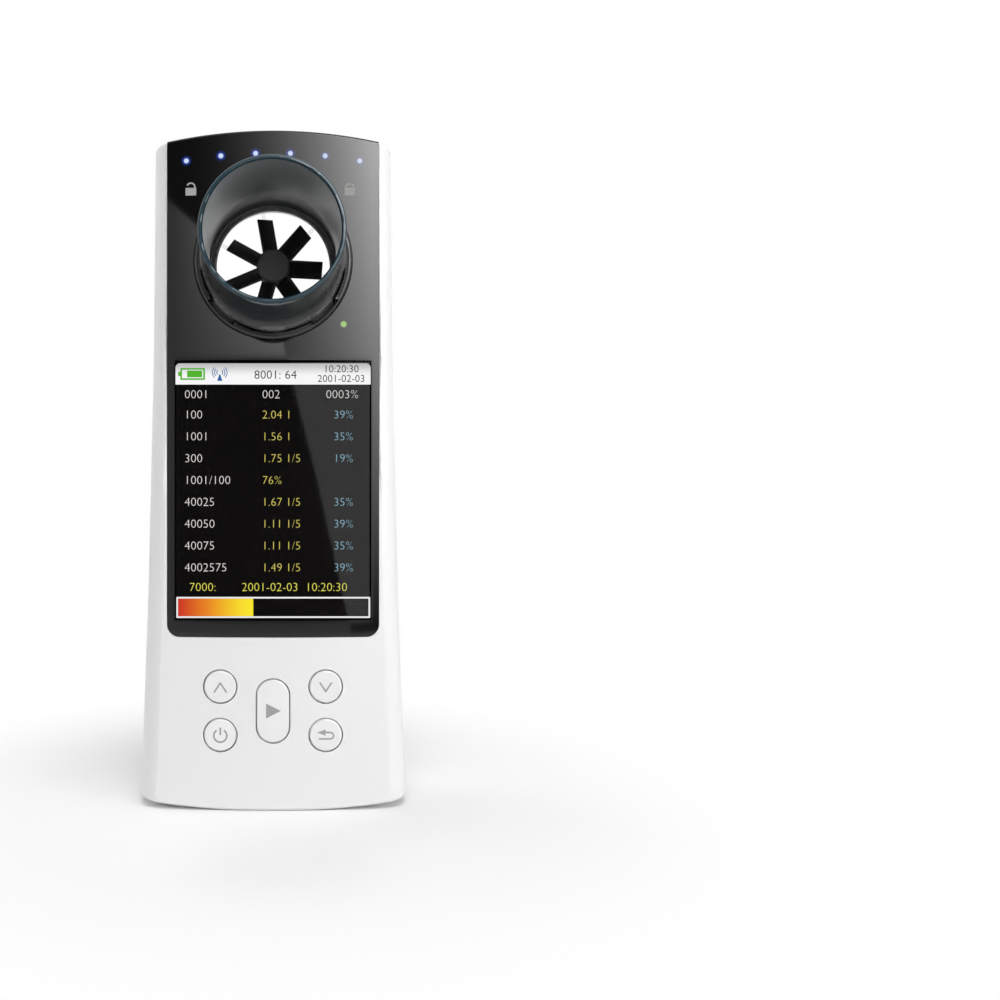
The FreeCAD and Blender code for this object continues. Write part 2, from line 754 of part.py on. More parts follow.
def round_ends(body, on_face):
    """Round the rims of both ends; the rounding runs on from the face's own edges to the parting line."""
    return round_edges(body, "end_rims", S.end_round, lambda edge: at_case_end(edge) and on_face(edge))


def inner_bevel(outer_round):
    """Bevel inside a rounded case edge that leaves the full wall at its middle."""
    return (outer_round - S.wall) * (2 - root(as_size(2)))


def boss_places():
    for height, spread in ((S.boss_low_height, S.boss_low_spread), (BOSS_HIGH_HEIGHT, S.boss_high_spread)):
        for across in (spread, -spread):
            yield across, height


def post_places():
    for height in (S.post_low_height, S.post_high_height):
        for across in (S.post_spread, -S.post_spread):
            yield across, height


def round_key_places():
    return (
        ("up_key", -S.key_spread, S.key_high_height),
        ("down_key", S.key_spread, S.key_high_height),
        ("power_key", -S.key_spread, S.key_low_height),
        ("return_key", S.key_spread, S.key_low_height),
    )


def pill_height():
    return (S.key_low_height + S.key_high_height) / 2


def pill(item, grow=ZERO):
    """The middle key's outline, grown by a margin; its ends are all but half round."""
    half_width = S.pill_width / 2 + grow
    half_length = S.pill_length / 2 + grow
    middle = pill_height()
    rounded_rectangle(item, -half_width, half_width, middle - half_length, middle + half_length,
                      half_width * 0.98)


def lamp_places():
    """Six lamps in a row that follows the top arch."""
    for step in (-2.5, -1.5, -0.5, 0.5, 1.5, 2.5):
        across = S.lamp_pitch * step
        radius = S.top_arch_radius - S.lamp_drop
        yield across, S.case_height - S.top_arch_radius + root(radius * radius - across * across)


def display_edges(grow=ZERO):
    """Left, right, low and high edge of the display glass, grown by a margin."""
    half = S.screen_width / 2 + S.screen_side_border + grow
    low = S.screen_base - S.screen_base_border - grow
    high = SCREEN_TOP + S.screen_top_border + grow
    return -half, half, low, high


def panel_outline(item, grow=ZERO, open_top=False):
    """Black panel: straight sides, two round lower corners and the case's own arch on top."""
    half = S.panel_width / 2 + grow
    low = S.panel_base - grow
    corner = S.panel_corner + grow
    inner = half - corner
    shoulder = S.case_height - S.top_arch_radius + root(S.top_arch_radius * S.top_arch_radius - half * half)
    bends = {1: (corner, "left"), 5: (corner, "left")}
    if open_top:
        shoulder = S.case_height + S.wall
    else:
        bends[3] = (S.top_arch_radius, "left")
    corners = [
        (-inner, low), (inner, low), (half, low + corner), (half, shoulder),
        (-half, shoulder), (-half, low + corner),
    ]
    outline(item, corners, bends)


def make_front_shell():
    body = new_body("front_shell")
    case_block(body, front_plan)
    front_middle = FRONT.number + S.front_round.number / 2
    round_ends(body, lambda edge: edge.BoundBox.YMax < front_middle)

    item = sketch(body, "panel_recess_profile", level=FRONT - S.wall)
    panel_outline(item, S.fit_gap, open_top=True)
    cut(body, "panel_recess", item, S.wall + S.panel_depth)

    item = sketch(body, "cavity_profile", level=PARTING)
    case_outline(item, S.wall)
    cut(body, "cavity", item, PARTING - CAVITY_FRONT, forwards=True)
    bevel_edges(body, "cavity_edges", inner_bevel(S.front_round),
                lambda edge: is_long(edge) and at_depth(edge, CAVITY_FRONT))

    item = sketch(body, "key_bay_profile", level=CAVITY_FRONT)
    reach = S.key_radius + S.key_flange + S.key_bay_margin
    half_bay = S.key_bay_width / 2
    rounded_rectangle(item, -half_bay, half_bay, S.key_low_height - reach, S.key_high_height + reach, S.wall)
    cut(body, "key_bay", item, CAVITY_FRONT - KEY_WALL_BACK, forwards=True)

    item = sketch(body, "boss_profile", level=PARTING)
    for across, height in boss_places():
        circle(item, across, height, S.boss_radius)
    pad(body, "bosses", item, PARTING - CAVITY_FRONT + S.backing / 2)
    item = sketch(body, "boss_hole_profile", level=PARTING)
    for across, height in boss_places():
        circle(item, across, height, S.pilot_radius)
    cut(body, "boss_holes", item, S.case_screw_bite + S.backing, forwards=True)

    item = sketch(body, "post_profile", level=BOARD_FRONT)
    for across, height in post_places():
        circle(item, across, height, S.post_radius)
    pad(body, "posts", item, BOARD_FRONT - CAVITY_FRONT + S.backing / 2)
    item = sketch(body, "post_hole_profile", level=BOARD_FRONT)
    for across, height in post_places():
        circle(item, across, height, S.pilot_radius)
    cut(body, "post_holes", item, S.board_screw_length - S.board_thickness + S.fit_gap * 2, forwards=True)

    item = sketch(body, "lamp_post_profile", level=LAMP_BOARD_FRONT)
    places = list(lamp_places())
    for first, second in ((1, 2), (3, 4)):
        across = (places[first][0] + places[second][0]) / 2
        circle(item, across, (places[first][1] + places[second][1]) / 2, S.lamp_radius)
    pad(body, "lamp_posts", item, LAMP_BOARD_FRONT - CAVITY_FRONT + S.backing / 2)

    item = sketch(body, "window_profile", level=PANEL_BACK - S.backing / 2)
    rectangle(item, *display_edges(S.fit_gap))
    circle(item, ZERO, TURBINE_HEIGHT, COLLAR_FLANGE_RADIUS + S.fit_gap)
    for across, height in lamp_places():
        circle(item, across, height, S.lamp_radius + S.fit_gap / 2)
    circle(item, S.charge_lamp_across, CHARGE_LAMP_HEIGHT, S.charge_lamp_radius + S.fit_gap / 2)
    cut(body, "windows", item, S.backing * 2)

    item = sketch(body, "key_hole_profile", level=FRONT - S.wall)
    for _, across, height in round_key_places():
        circle(item, across, height, S.key_radius + S.key_gap)
    pill(item, S.key_gap)
    cut(body, "key_holes", item, S.wall + S.parting_depth / 2)

    item = sketch(body, "port_profile", "YZ_Plane", S.case_base_width / 2)
    low = S.port_height - S.port_width / 2 - S.port_margin
    high = S.port_height + S.port_width / 2 + S.port_margin
    rounded_rectangle(item, BOARD_BACK - S.port_margin, BOARD_BACK + S.port_depth + S.port_margin,
                      low, high, S.port_margin * 2)
    cut(body, "port_opening", item, S.wall * 2 + S.case_waist)
    return body


def make_rear_shell():
    body = new_body("rear_shell")
    case_block(body, rear_plan)
    round_ends(body, lambda edge: at_depth(edge, LOFT_BACK))
    item = sketch(body, "back_profile", level=BACK)
    reach = S.case_base_width / 2
    rectangle(item, -reach, reach, -S.wall, S.case_height + S.wall)
    cut(body, "back", item, S.wall)

    item = sketch(body, "cavity_profile", level=PARTING + S.seam_gap)
    case_outline(item, S.wall)
    cut(body, "cavity", item, CAVITY_BACK - PARTING - S.seam_gap)
    bevel_edges(body, "cavity_edges", inner_bevel(S.back_round),
                lambda edge: is_long(edge) and at_depth(edge, CAVITY_BACK))

    lip_outside = S.wall + S.lip_gap
    item = sketch(body, "lip_profile", level=PARTING + S.seam_gap * 2)
    case_outline(item, lip_outside)
    case_outline(item, lip_outside + S.lip_wall)
    pad(body, "lip", item, S.lip_height + S.seam_gap * 2)
    item = sketch(body, "lip_foot_profile", level=PARTING + S.seam_gap + S.lip_wall)
    case_outline(item, S.wall - S.lip_gap)
    case_outline(item, lip_outside + S.lip_wall)
    pad(body, "lip_foot", item, S.lip_wall)

    item = sketch(body, "boss_profile", level=PARTING)
    for across, height in boss_places():
        circle(item, across, height, S.boss_radius)
    pad(body, "bosses", item, CAVITY_BACK - PARTING + S.wall / 2, backwards=True)
    item = sketch(body, "screw_hole_profile", level=BACK)
    for across, height in boss_places():
        circle(item, across, height, S.case_screw_radius + S.fit_gap)
    cut(body, "screw_holes", item, S.case_thickness, forwards=True)
    item = sketch(body, "counterbore_profile", level=BACK)
    for across, height in boss_places():
        circle(item, across, height, S.counterbore_radius)
    cut(body, "counterbores", item, BACK - PARTING - S.boss_floor, forwards=True)

    item = sketch(body, "rib_profile", level=CAVITY_BACK + S.wall / 2)
    half = S.battery_width / 2 + S.battery_tape
    low, high = S.battery_base, BATTERY_TOP
    for left, right in ((half, half + S.rib_wall), (-half - S.rib_wall, -half)):
        rectangle(item, left, right, low, high)
    rectangle(item, -half, half, low - S.battery_tape - S.rib_wall, low - S.battery_tape)
    pad(body, "battery_ribs", item, S.rib_height + S.wall / 2)

    item = sketch(body, "outlet_profile", level=BACK + S.wall)
    circle(item, ZERO, TURBINE_HEIGHT, S.outlet_radius)
    for row in (-1, 0, 1):
        for column in (-1, 0, 1):
            circle(item, S.sound_hole_pitch * column - S.buzzer_spread,
                   S.buzzer_height + S.sound_hole_pitch * row, S.sound_hole_radius)
    cut(body, "outlet", item, S.wall * 3, forwards=True)
    hole_edge = S.outlet_radius.number
    bevel_edges(body, "outlet_edge", S.outlet_bevel,
                lambda edge: at_depth(edge, BACK) and abs(edge.BoundBox.XLength - hole_edge * 2) < 0.1)
    return body


def make_front_panel():
    """Black acrylic panel, flat behind and crowned in front, with the turbine's hole."""
    body = new_body("front_panel")
    item = sketch(body, "panel_profile", level=PANEL_BACK)
    panel_outline(item)
    circle(item, ZERO, TURBINE_HEIGHT, S.collar_radius + S.collar_gap)
    pad(body, "sheet", item, S.panel_depth)
    crown_cut(body)
    shoulder = S.case_height.number - TURBINE_HEIGHT.number / 10
    round_edges(body, "top_edge", S.panel_round,
                lambda edge: edge.BoundBox.ZMin > shoulder and edge.BoundBox.XLength > S.panel_width.number / 2
                and edge.BoundBox.YMin < FRONT.number + 0.01)
    return body


# Display, boards and what they carry

def make_display():
    left, right, low, high = display_edges()
    glass = box("display_glass", left, right, PANEL_BACK + S.fit_gap, GLASS_BACK, low, high)

    body = new_body("display_tray")
    item = sketch(body, "tray_profile", level=TRAY_BACK)
    rounded_rectangle(item, left, right, low, high, S.tray_wall)
    pad(body, "tray", item, S.display_tray_depth - S.fit_gap)
    item = sketch(body, "well_profile", level=GLASS_BACK)
    rectangle(item, left + S.tray_wall, right - S.tray_wall, low + S.tray_wall, high - S.tray_wall)
    cut(body, "well", item, S.backlight_depth + S.fit_gap)
    slot = sketch(body, "ribbon_slot_profile", level=GLASS_BACK)
    rectangle(slot, -S.ribbon_width / 2 - S.fit_gap, S.ribbon_width / 2 + S.fit_gap,
              low + S.tray_wall * 2, low + S.tray_wall * 2 + S.ribbon_depth + S.fit_gap * 2)
    cut(body, "ribbon_slot", slot, S.display_tray_depth + S.fit_gap)

    inner = S.tray_wall + S.fit_gap
    ribbon_top = low + S.tray_wall * 2 + S.ribbon_depth + S.fit_gap * 3
    light = box("backlight", left + inner, right - inner, GLASS_BACK + S.fit_gap,
                GLASS_BACK + S.backlight_depth, ribbon_top, high - inner)

    ribbon = new_body("display_ribbon")
    item = sketch(ribbon, "ribbon_profile", "YZ_Plane", -S.ribbon_width / 2)
    top = low + S.tray_wall * 2 + S.fit_gap + S.ribbon_depth
    base = top - S.ribbon_depth
    landing = BOARD_FRONT - S.ribbon_depth
    foot = base - S.plug_height
    outline(item, [(GLASS_BACK, base), (landing, base), (landing, foot), (BOARD_FRONT, foot),
                   (BOARD_FRONT, top), (GLASS_BACK, top)])
    pad(ribbon, "strip", item, S.ribbon_width)
    return [glass, body, light, ribbon]


def make_main_board():
    """Main board with round cut-outs at its screws and a tongue towards the charging port."""
    body = new_body("main_board")
    item = sketch(body, "board_profile", level=BOARD_BACK)
    half = S.board_width / 2
    rounded_rectangle(item, -half, half, S.board_base, BOARD_TOP, S.wall)
    for across, height in post_places():
        circle(item, across, height, S.board_screw_radius + S.fit_gap)
    pad(body, "board", item, S.board_thickness)
    item = sketch(body, "tongue_profile", level=BOARD_BACK)
    rectangle(item, half - S.wall, half_width_at(S.port_height) - S.wall - S.port_margin,
              S.port_height - S.port_width / 2, S.port_height + S.port_width / 2)
    pad(body, "tongue", item, S.board_thickness)
    return body


def port_mouth():
    """How far out the charging port's mouth lies: just inside the case's side at its height."""
    return half_width_at(S.port_height) - S.port_inset


def make_charging_port():
    """Metal shell, open at its mouth, with a contact tongue inside."""
    body = new_body("charging_port")
    mouth = port_mouth()
    low = S.port_height - S.port_width / 2
    high = S.port_height + S.port_width / 2
    back = BOARD_BACK + S.port_depth
    item = sketch(body, "shell_profile", "YZ_Plane", mouth - S.port_length)
    rounded_rectangle(item, BOARD_BACK, back, low, high, S.port_wall * 2)
    pad(body, "shell", item, S.port_length)
    item = sketch(body, "mouth_profile", "YZ_Plane", mouth)
    rounded_rectangle(item, BOARD_BACK + S.port_wall, back - S.port_wall, low + S.port_wall,
                      high - S.port_wall, S.port_wall)
    cut(body, "mouth", item, S.port_length - S.port_wall)
    item = sketch(body, "tongue_profile", "YZ_Plane", mouth - S.port_length)
    middle = BOARD_BACK + S.port_depth / 2
    rectangle(item, middle - S.port_tongue / 2, middle + S.port_tongue / 2,
              low + S.port_wall * 3, high - S.port_wall * 3)
    pad(body, "tongue", item, S.port_length - S.port_inset)
    return body


def make_board_parts():
    """Battery, radio, processor, buzzer and the battery's connector on the main board."""
    battery_back = CAVITY_BACK - S.battery_tape
    half = S.battery_width / 2
    cell = new_body("battery")
    item = sketch(cell, "cell_profile", level=battery_back)
    rounded_rectangle(item, -half, half, S.battery_base, BATTERY_TOP, S.battery_round)
    pad(cell, "cell", item, S.battery_depth)

    radio_left = S.board_width / 2 - S.radio_width - S.fit_gap * 10
    radio = box("radio_module", radio_left, radio_left + S.radio_width, BOARD_BACK, BOARD_BACK + S.radio_depth,
                S.radio_base, S.radio_base + S.radio_height)
    processor = box("processor", -S.processor_width / 2, S.processor_width / 2, BOARD_BACK,
                    BOARD_BACK + S.processor_depth, S.processor_base, S.processor_base + S.processor_width)
    connector = box("battery_connector", -S.plug_width / 2, S.plug_width / 2, BOARD_BACK,
                    BOARD_BACK + S.plug_depth, S.plug_base, S.plug_base + S.plug_height)
    buzzer = rod("buzzer", S.buzzer_radius, BOARD_BACK, S.buzzer_depth, -S.buzzer_spread, S.buzzer_height)
    return [cell, radio, processor, connector, buzzer]


def make_key_switches():
    """Five square switches on the board, each with a well that its key's post enters."""
    body = new_body("key_switches")
    half = S.switch_width / 2
    places = [(across, height) for _, across, height in round_key_places()] + [(ZERO, pill_height())]
    item = sketch(body, "switch_profile", level=BOARD_FRONT)
    for across, height in places:
        rectangle(item, across - half, across + half, height - half, height + half)
    pad(body, "switches", item, S.switch_height)
    item = sketch(body, "well_profile", level=BOARD_FRONT - S.switch_height)
    for across, height in places:
        circle(item, across, height, S.plunger_radius + S.switch_gap)
    cut(body, "wells", item, S.switch_height - S.switch_floor)
    return body


def make_lamps():
    """Six status lamps: a light pipe each, a chip behind it, and one narrow board."""
    pipe_length = LAMP_BOARD_FRONT - S.lamp_chip_depth - PANEL_BACK - S.fit_gap
    pipes = new_body("status_light_pipes")
    item = sketch(pipes, "pipe_profile", level=PANEL_BACK + S.fit_gap / 2)
    for across, height in lamp_places():
        circle(item, across, height, S.lamp_radius)
    pad(pipes, "pipes", item, pipe_length, backwards=True)

    chips = new_body("status_lamp_chips")
    half = S.lamp_chip / 2
    item = sketch(chips, "chip_profile", level=LAMP_BOARD_FRONT)
    for across, height in lamp_places():
        rectangle(item, across - half, across + half, height - half, height + half)
    pad(chips, "chips", item, S.lamp_chip_depth)

    places = list(lamp_places())
    reach = S.lamp_pitch * 2.5 + S.lamp_board_margin
    top = places[0][1] + S.lamp_board_margin
    board = box("lamp_board", -reach, reach, LAMP_BOARD_FRONT, LAMP_BOARD_FRONT + S.board_thickness,
                top - S.lamp_board_height, top)

    charge_pipe = rod("charge_light_pipe", S.charge_lamp_radius, PANEL_BACK + S.fit_gap / 2,
                      SENSOR_BOARD_FRONT - S.lamp_chip_depth - PANEL_BACK - S.fit_gap,
                      S.charge_lamp_across, CHARGE_LAMP_HEIGHT)
    charge_chip = box("charge_lamp_chip", S.charge_lamp_across - half, S.charge_lamp_across + half,
                      SENSOR_BOARD_FRONT - S.lamp_chip_depth, SENSOR_BOARD_FRONT,
                      CHARGE_LAMP_HEIGHT - half, CHARGE_LAMP_HEIGHT + half)
    return [pipes, chips, board, charge_pipe, charge_chip]


# Turbine socket in the case

def make_collar():
    """Bayonet ring: lips with entry notches, and a stop rib under each lip."""
    body = turbine_body("bayonet_collar")
    front = FRONT - S.collar_proud
    lip_front = front + S.collar_proud / 2
    lip_back = lip_front + S.bayonet_lip
    item = sketch(body, "ring_profile", "YZ_Plane")
    outline(item, [
        (front, S.collar_radius - S.collar_proud), (front, SOCKET_BORE - S.collar_gap),
        (lip_front, S.lip_radius),
        (lip_back, S.lip_radius), (lip_back, SOCKET_BORE), (CAVITY_FRONT, SOCKET_BORE),
        (CAVITY_FRONT, COLLAR_FLANGE_RADIUS), (PANEL_BACK + S.fit_gap, COLLAR_FLANGE_RADIUS),
        (PANEL_BACK + S.fit_gap, S.collar_radius), (front + S.collar_proud, S.collar_radius),
    ])
    turn(body, "ring", item)
    spacing = FULL_TURN / S.lug_count
    item = sketch(body, "notch_profile", level=front - S.wall)
    sector(item, spacing / 2, S.lug_angle + S.lug_side_gap * 2, S.lip_radius - S.wall, SOCKET_BORE)
    notch = cut(body, "notch", item, S.wall + S.collar_proud / 2 + S.bayonet_lip + S.fit_gap)
    repeat(body, "notches", notch, S.lug_count)
    stop_middle = spacing / 2 - S.lock_angle - S.lug_angle / 2 - S.lug_side_gap / 3 - S.stop_angle / 2
    item = sketch(body, "stop_profile", level=CAVITY_FRONT)
    sector(item, stop_middle, S.stop_angle, S.lip_radius, SOCKET_BORE + S.fit_gap)
    stop = pad(body, "stop", item, CAVITY_FRONT - lip_back + S.fit_gap)
    repeat(body, "stops", stop, S.lug_count)
    return body


def make_socket():
    """Sleeve from the bayonet ring to the back wall, with sensor windows and a key rib."""
    body = turbine_body("turbine_socket")
    flange_back = CAVITY_FRONT + S.socket_flange_depth
    seat_front = SENSOR_BOARD_FRONT + S.board_thickness
    seat_back = seat_front + S.socket_flange_depth
    stop_front = FLANGE_BACK + S.fit_gap
    stop_radius = S.carrier_seat_radius + S.moving_gap
    step = FLANGE_FRONT - S.fit_gap * 2
    end_radius = stop_radius + (SOCKET_END - stop_front - S.fit_gap * 5) * tangent(S.outlet_slope)
    item = sketch(body, "sleeve_profile", "YZ_Plane")
    outline(item, [
        (CAVITY_FRONT, SOCKET_BORE), (step, SOCKET_BORE), (step, INSERT_BORE), (stop_front, INSERT_BORE),
        (stop_front, stop_radius), (stop_front + S.fit_gap * 5, stop_radius), (SOCKET_END, end_radius),
        (SOCKET_END, SOCKET_RADIUS), (seat_back, SOCKET_RADIUS), (seat_back, SOCKET_RADIUS + S.ring_seat_width),
        (seat_front, SOCKET_RADIUS + S.ring_seat_width), (seat_front, SOCKET_RADIUS),
        (flange_back, SOCKET_RADIUS), (flange_back, SOCKET_RADIUS + S.socket_flange),
        (CAVITY_FRONT, SOCKET_RADIUS + S.socket_flange),
    ])
    turn(body, "sleeve", item)

    item = sketch(body, "rib_profile", level=stop_front + S.fit_gap)
    half = S.key_width / 2
    rectangle(item, -half, half, INSERT_BORE - S.moving_gap - S.key_height, SOCKET_BORE)
    pad(body, "key_rib", item, stop_front - FLANGE_FRONT)

    item = sketch(body, "sensor_window_profile", level=SENSOR_BOARD_FRONT - S.sensor_height - S.fit_gap * 2)
    half = S.sensor_width / 2 + S.fit_gap * 2
    rectangle(item, -half, half, -SOCKET_RADIUS - S.fit_gap, -SOCKET_BORE + S.moving_gap)
    window = cut(body, "sensor_window", item, S.sensor_height + S.fit_gap * 2)
    repeat(body, "sensor_windows", window, S.sensor_count * 2)
    return body


def make_seal():
    body = turbine_body("outlet_seal")
    item = sketch(body, "seal_profile", "YZ_Plane")
    outline(item, [(SOCKET_END, S.outlet_radius), (SEAL_END, S.outlet_radius),
                   (SEAL_END, SOCKET_RADIUS), (SOCKET_END, SOCKET_RADIUS)])
    turn(body, "seal", item)
    return body


def make_sensor_ring():
    """Ring board round the socket, with infrared emitters and receivers facing the rotor."""
    inner = SOCKET_RADIUS + S.fit_gap
    board = turbine_body("sensor_board")
    item = sketch(board, "ring_profile", level=SENSOR_BOARD_FRONT + S.board_thickness)
    circle(item, ZERO, ZERO, inner)
    circle(item, ZERO, ZERO, inner + S.sensor_ring_width)
    pad(board, "ring", item, S.board_thickness)

    parts = [board]
    near = SOCKET_BORE + S.sensor_inset
    far = near + S.sensor_length
    half = S.sensor_width / 2
    for label, low, high in (("infrared_emitters", -far, -near), ("infrared_receivers", near, far)):
        body = turbine_body(label)
        item = sketch(body, "sensor_profile", level=SENSOR_BOARD_FRONT)
        rectangle(item, -half, half, low, high)
        sensor = pad(body, "sensor", item, S.sensor_height)
        repeat(body, "sensors", sensor, S.sensor_count)
        parts.append(body)
    return parts


# Removable turbine cartridge

def make_mouth_tube():
    """Clear tube: tapered barrel, flared foot with grip tabs, bayonet lugs and a snap bead inside."""
    body = turbine_body("mouth_tube")
    lip = S.tube_lip_bevel
    outside = S.mouth_radius + S.tube_wall
    flare_start = FRONT - S.flare_reach
    flare_end = FRONT - S.flare_end
    flare_run = flare_end - flare_start
    flare_rise = FOOT_RADIUS - outside - S.tube_taper
    flare_radius = (flare_run * flare_run + flare_rise * flare_rise) / (flare_rise * 2)
    bore_end = TUBE_MOUTH + lip + S.tube_bore_length
    bead = FRONT + S.bead_depth
    bead_radius = FOOT_BORE - S.bead_height
    half_bead = S.bead_width / 2
    foot_start = INSERT_NOSE - S.nose_length * 2
    item = sketch(body, "wall_profile", "YZ_Plane")
    outline(item, [
        (TUBE_MOUTH, S.mouth_radius + lip), (TUBE_MOUTH + lip, S.mouth_radius), (bore_end, S.mouth_radius),
        (foot_start, FOOT_BORE), (bead - half_bead - S.bead_height, FOOT_BORE), (bead - half_bead, bead_radius),
        (bead + half_bead, bead_radius), (bead + half_bead + S.bead_height, FOOT_BORE), (TUBE_END, FOOT_BORE),
        (TUBE_END, FOOT_RADIUS), (flare_end, FOOT_RADIUS), (flare_start, outside + S.tube_taper),
        (TUBE_MOUTH + lip, outside), (TUBE_MOUTH, outside - lip),
    ], {10: (flare_radius, "left")})
    turn(body, "wall", item)

    spacing = FULL_TURN / S.tab_count
    item = sketch(body, "tab_profile", level=FRONT - S.collar_proud)
    sector(item, -spacing * 2, S.tab_angle, FOOT_RADIUS - S.tube_socket_wall / 2, TAB_RADIUS)
    tab = pad(body, "tab", item, S.flare_end - S.collar_proud)
    repeat(body, "tabs", tab, S.tab_count)

    lug_front = FRONT - S.collar_proud / 2 + S.bayonet_lip + S.moving_gap
    spacing = FULL_TURN / S.lug_count
    item = sketch(body, "lug_profile", level=lug_front + S.lug_depth)
    sector(item, spacing / 2, S.lug_angle, FOOT_RADIUS - S.tube_socket_wall / 2, S.lug_radius)
    lug = pad(body, "lug", item, S.lug_depth)
    repeat(body, "lugs", lug, S.lug_count)
    return body


def make_insert():
    """Ring that the tube turns on: thin nose, snap groove, keyed flange and a flaring bore."""
    body = turbine_body("turbine_insert")
    shoulder = INSERT_NOSE + S.nose_length
    groove = FRONT + S.bead_depth
    half_groove = S.bead_width / 2 + S.bead_height + S.fit_gap
    groove_radius = FOOT_BORE - S.bead_height - S.fit_gap
    throat_end = S.throat_radius + (CARRIER_SEAT - INSERT_NOSE) * tangent(S.throat_slope)
    item = sketch(body, "ring_profile", "YZ_Plane")
    outline(item, [
        (INSERT_NOSE, S.throat_radius), (CARRIER_SEAT, throat_end), (CARRIER_SEAT, S.carrier_seat_radius),
        (FLANGE_BACK, S.carrier_seat_radius), (FLANGE_BACK, S.insert_flange_radius),
        (FLANGE_FRONT, S.insert_flange_radius), (FLANGE_FRONT, S.sleeve_radius),
        (groove + half_groove, S.sleeve_radius), (groove + half_groove, groove_radius),
        (groove - half_groove, groove_radius), (groove - half_groove, S.sleeve_radius),
        (shoulder, S.sleeve_radius), (shoulder, S.nose_radius), (INSERT_NOSE, S.nose_radius),
    ])
    turn(body, "ring", item)

    item = sketch(body, "key_slot_profile", level=FLANGE_FRONT)
    half = S.key_width / 2 + S.moving_gap
    floor = INSERT_BORE - S.moving_gap - S.key_height - S.moving_gap
    rectangle(item, -half, half, floor, INSERT_BORE)
    cut(body, "key_slot", item, S.insert_flange_depth)

    item = sketch(body, "mark_profile", level=INSERT_NOSE)
    half = (S.nose_radius - S.throat_radius) * 0.9
    outline(item, [(ZERO, S.throat_radius + S.fit_gap), (half, S.nose_radius + S.fit_gap),
                   (-half, S.nose_radius + S.fit_gap)])
    cut(body, "mark", item, S.nose_length / 2)
    return body


def make_carrier():
    """Boss on seven thin arms in a rim, pressed into the insert behind the rotor."""
    body = turbine_body("rotor_carrier")
    arm_front = CARRIER_SEAT
    rim_inside = S.carrier_seat_radius - S.carrier_rim_wall
    item = sketch(body, "rim_profile", level=FLANGE_BACK)
    circle(item, ZERO, ZERO, S.carrier_seat_radius)
    circle(item, ZERO, ZERO, rim_inside)
    pad(body, "rim", item, S.carrier_rim_depth)
    item = sketch(body, "arm_profile", level=arm_front + S.carrier_arm_depth)
    arms_outline(item, S.carrier_boss_radius / 2, rim_inside + S.carrier_rim_wall / 2)
    arm = pad(body, "arm", item, S.carrier_arm_depth)
    repeat(body, "arms", arm, S.blade_count)
    item = sketch(body, "boss_profile", "YZ_Plane")
    boss_back = FLANGE_BACK
    outline(item, [
        (CARRIER_TIP, S.pin_radius), (boss_back, S.pin_radius), (boss_back, S.carrier_boss_radius),
        (CARRIER_FRONT + S.carrier_tip_length, S.carrier_boss_radius),
        (CARRIER_FRONT, S.carrier_tip_radius), (CARRIER_TIP, S.carrier_tip_radius),
    ])
    turn(body, "boss", item)
    item = sketch(body, "pin_hole_profile", level=CARRIER_TIP - S.wall)
    circle(item, ZERO, ZERO, S.pin_radius)
    cut(body, "pin_hole", item, FLANGE_BACK - CARRIER_TIP + S.wall * 2)
    return body


def arms_outline(item, near, far):
    """One arm at the first blade's angle, from near the axis to the rim."""
    half = S.carrier_arm_width / 2
    along, side = cosine(S.blade_phase), sine(S.blade_phase)
    corners = []
    for distance, offset in ((near, -half), (far, -half), (far, half), (near, half)):
        corners.append((distance * along - offset * side, distance * side + offset * along))
    outline(item, corners)


def make_axle_pin():
    body = turbine_body("axle_pin")
    head_back = HUB_FRONT - S.pin_end_gap
    head_front = head_back - S.pin_head_depth
    item = sketch(body, "pin_profile", "YZ_Plane")
    outline(item, [(head_front, ZERO), (FLANGE_BACK, ZERO), (FLANGE_BACK, S.pin_radius),
                   (head_back, S.pin_radius), (head_back, S.pin_head_radius), (head_front, S.pin_head_radius)])
    turn(body, "pin", item)
    return body


def make_rotor():
    """Hub with bush seats and seven flat blades set at a steep pitch."""
    body = turbine_body("rotor")
    middle_bore = S.bush_radius - S.turning_gap * 8
    item = sketch(body, "hub_profile", "YZ_Plane")
    outline(item, [
        (HUB_FRONT, S.bush_radius), (HUB_FRONT + S.bush_length, S.bush_radius),
        (HUB_FRONT + S.bush_length, middle_bore), (HUB_BACK - S.bush_length, middle_bore),
        (HUB_BACK - S.bush_length, S.bush_radius), (HUB_BACK, S.bush_radius), (HUB_BACK, S.hub_radius),
        (HUB_FRONT, S.hub_radius),
    ])
    turn(body, "hub", item)
    root_radius = (S.bush_radius + S.hub_radius) / 2
    item = sketch(body, "blade_profile", "YZ_Plane", root_radius)
    along, side = cosine(S.blade_pitch), sine(S.blade_pitch)
    corners = []
    half_chord, half_wall = S.blade_chord / 2, S.blade_thickness / 2
    for chord, wall in ((-half_chord, -half_wall), (half_chord, -half_wall),
                        (half_chord, half_wall), (-half_chord, half_wall)):
        corners.append((BLADE_MIDDLE + chord * along + wall * side, wall * along - chord * side))
    outline(item, corners)
    blade = pad(body, "blade", item, S.blade_tip_radius - root_radius)
    repeat(body, "blades", blade, S.blade_count)
    bind(body, "Placement.Rotation.Angle", -S.blade_phase)
    body.Placement.Rotation = FreeCAD.Rotation(FreeCAD.Vector(0, 1, 0), -S.blade_phase.number)
    return body


def make_bushes():
    body = turbine_body("rotor_bushes")
    inner = S.pin_radius + S.turning_gap
    item = sketch(body, "bush_profile", "YZ_Plane")
    for start in (HUB_FRONT, HUB_BACK - S.bush_length):
        outline(item, [(start, inner), (start + S.bush_length, inner),
                       (start + S.bush_length, S.bush_radius), (start, S.bush_radius)])
    turn(body, "bushes", item)
    return body


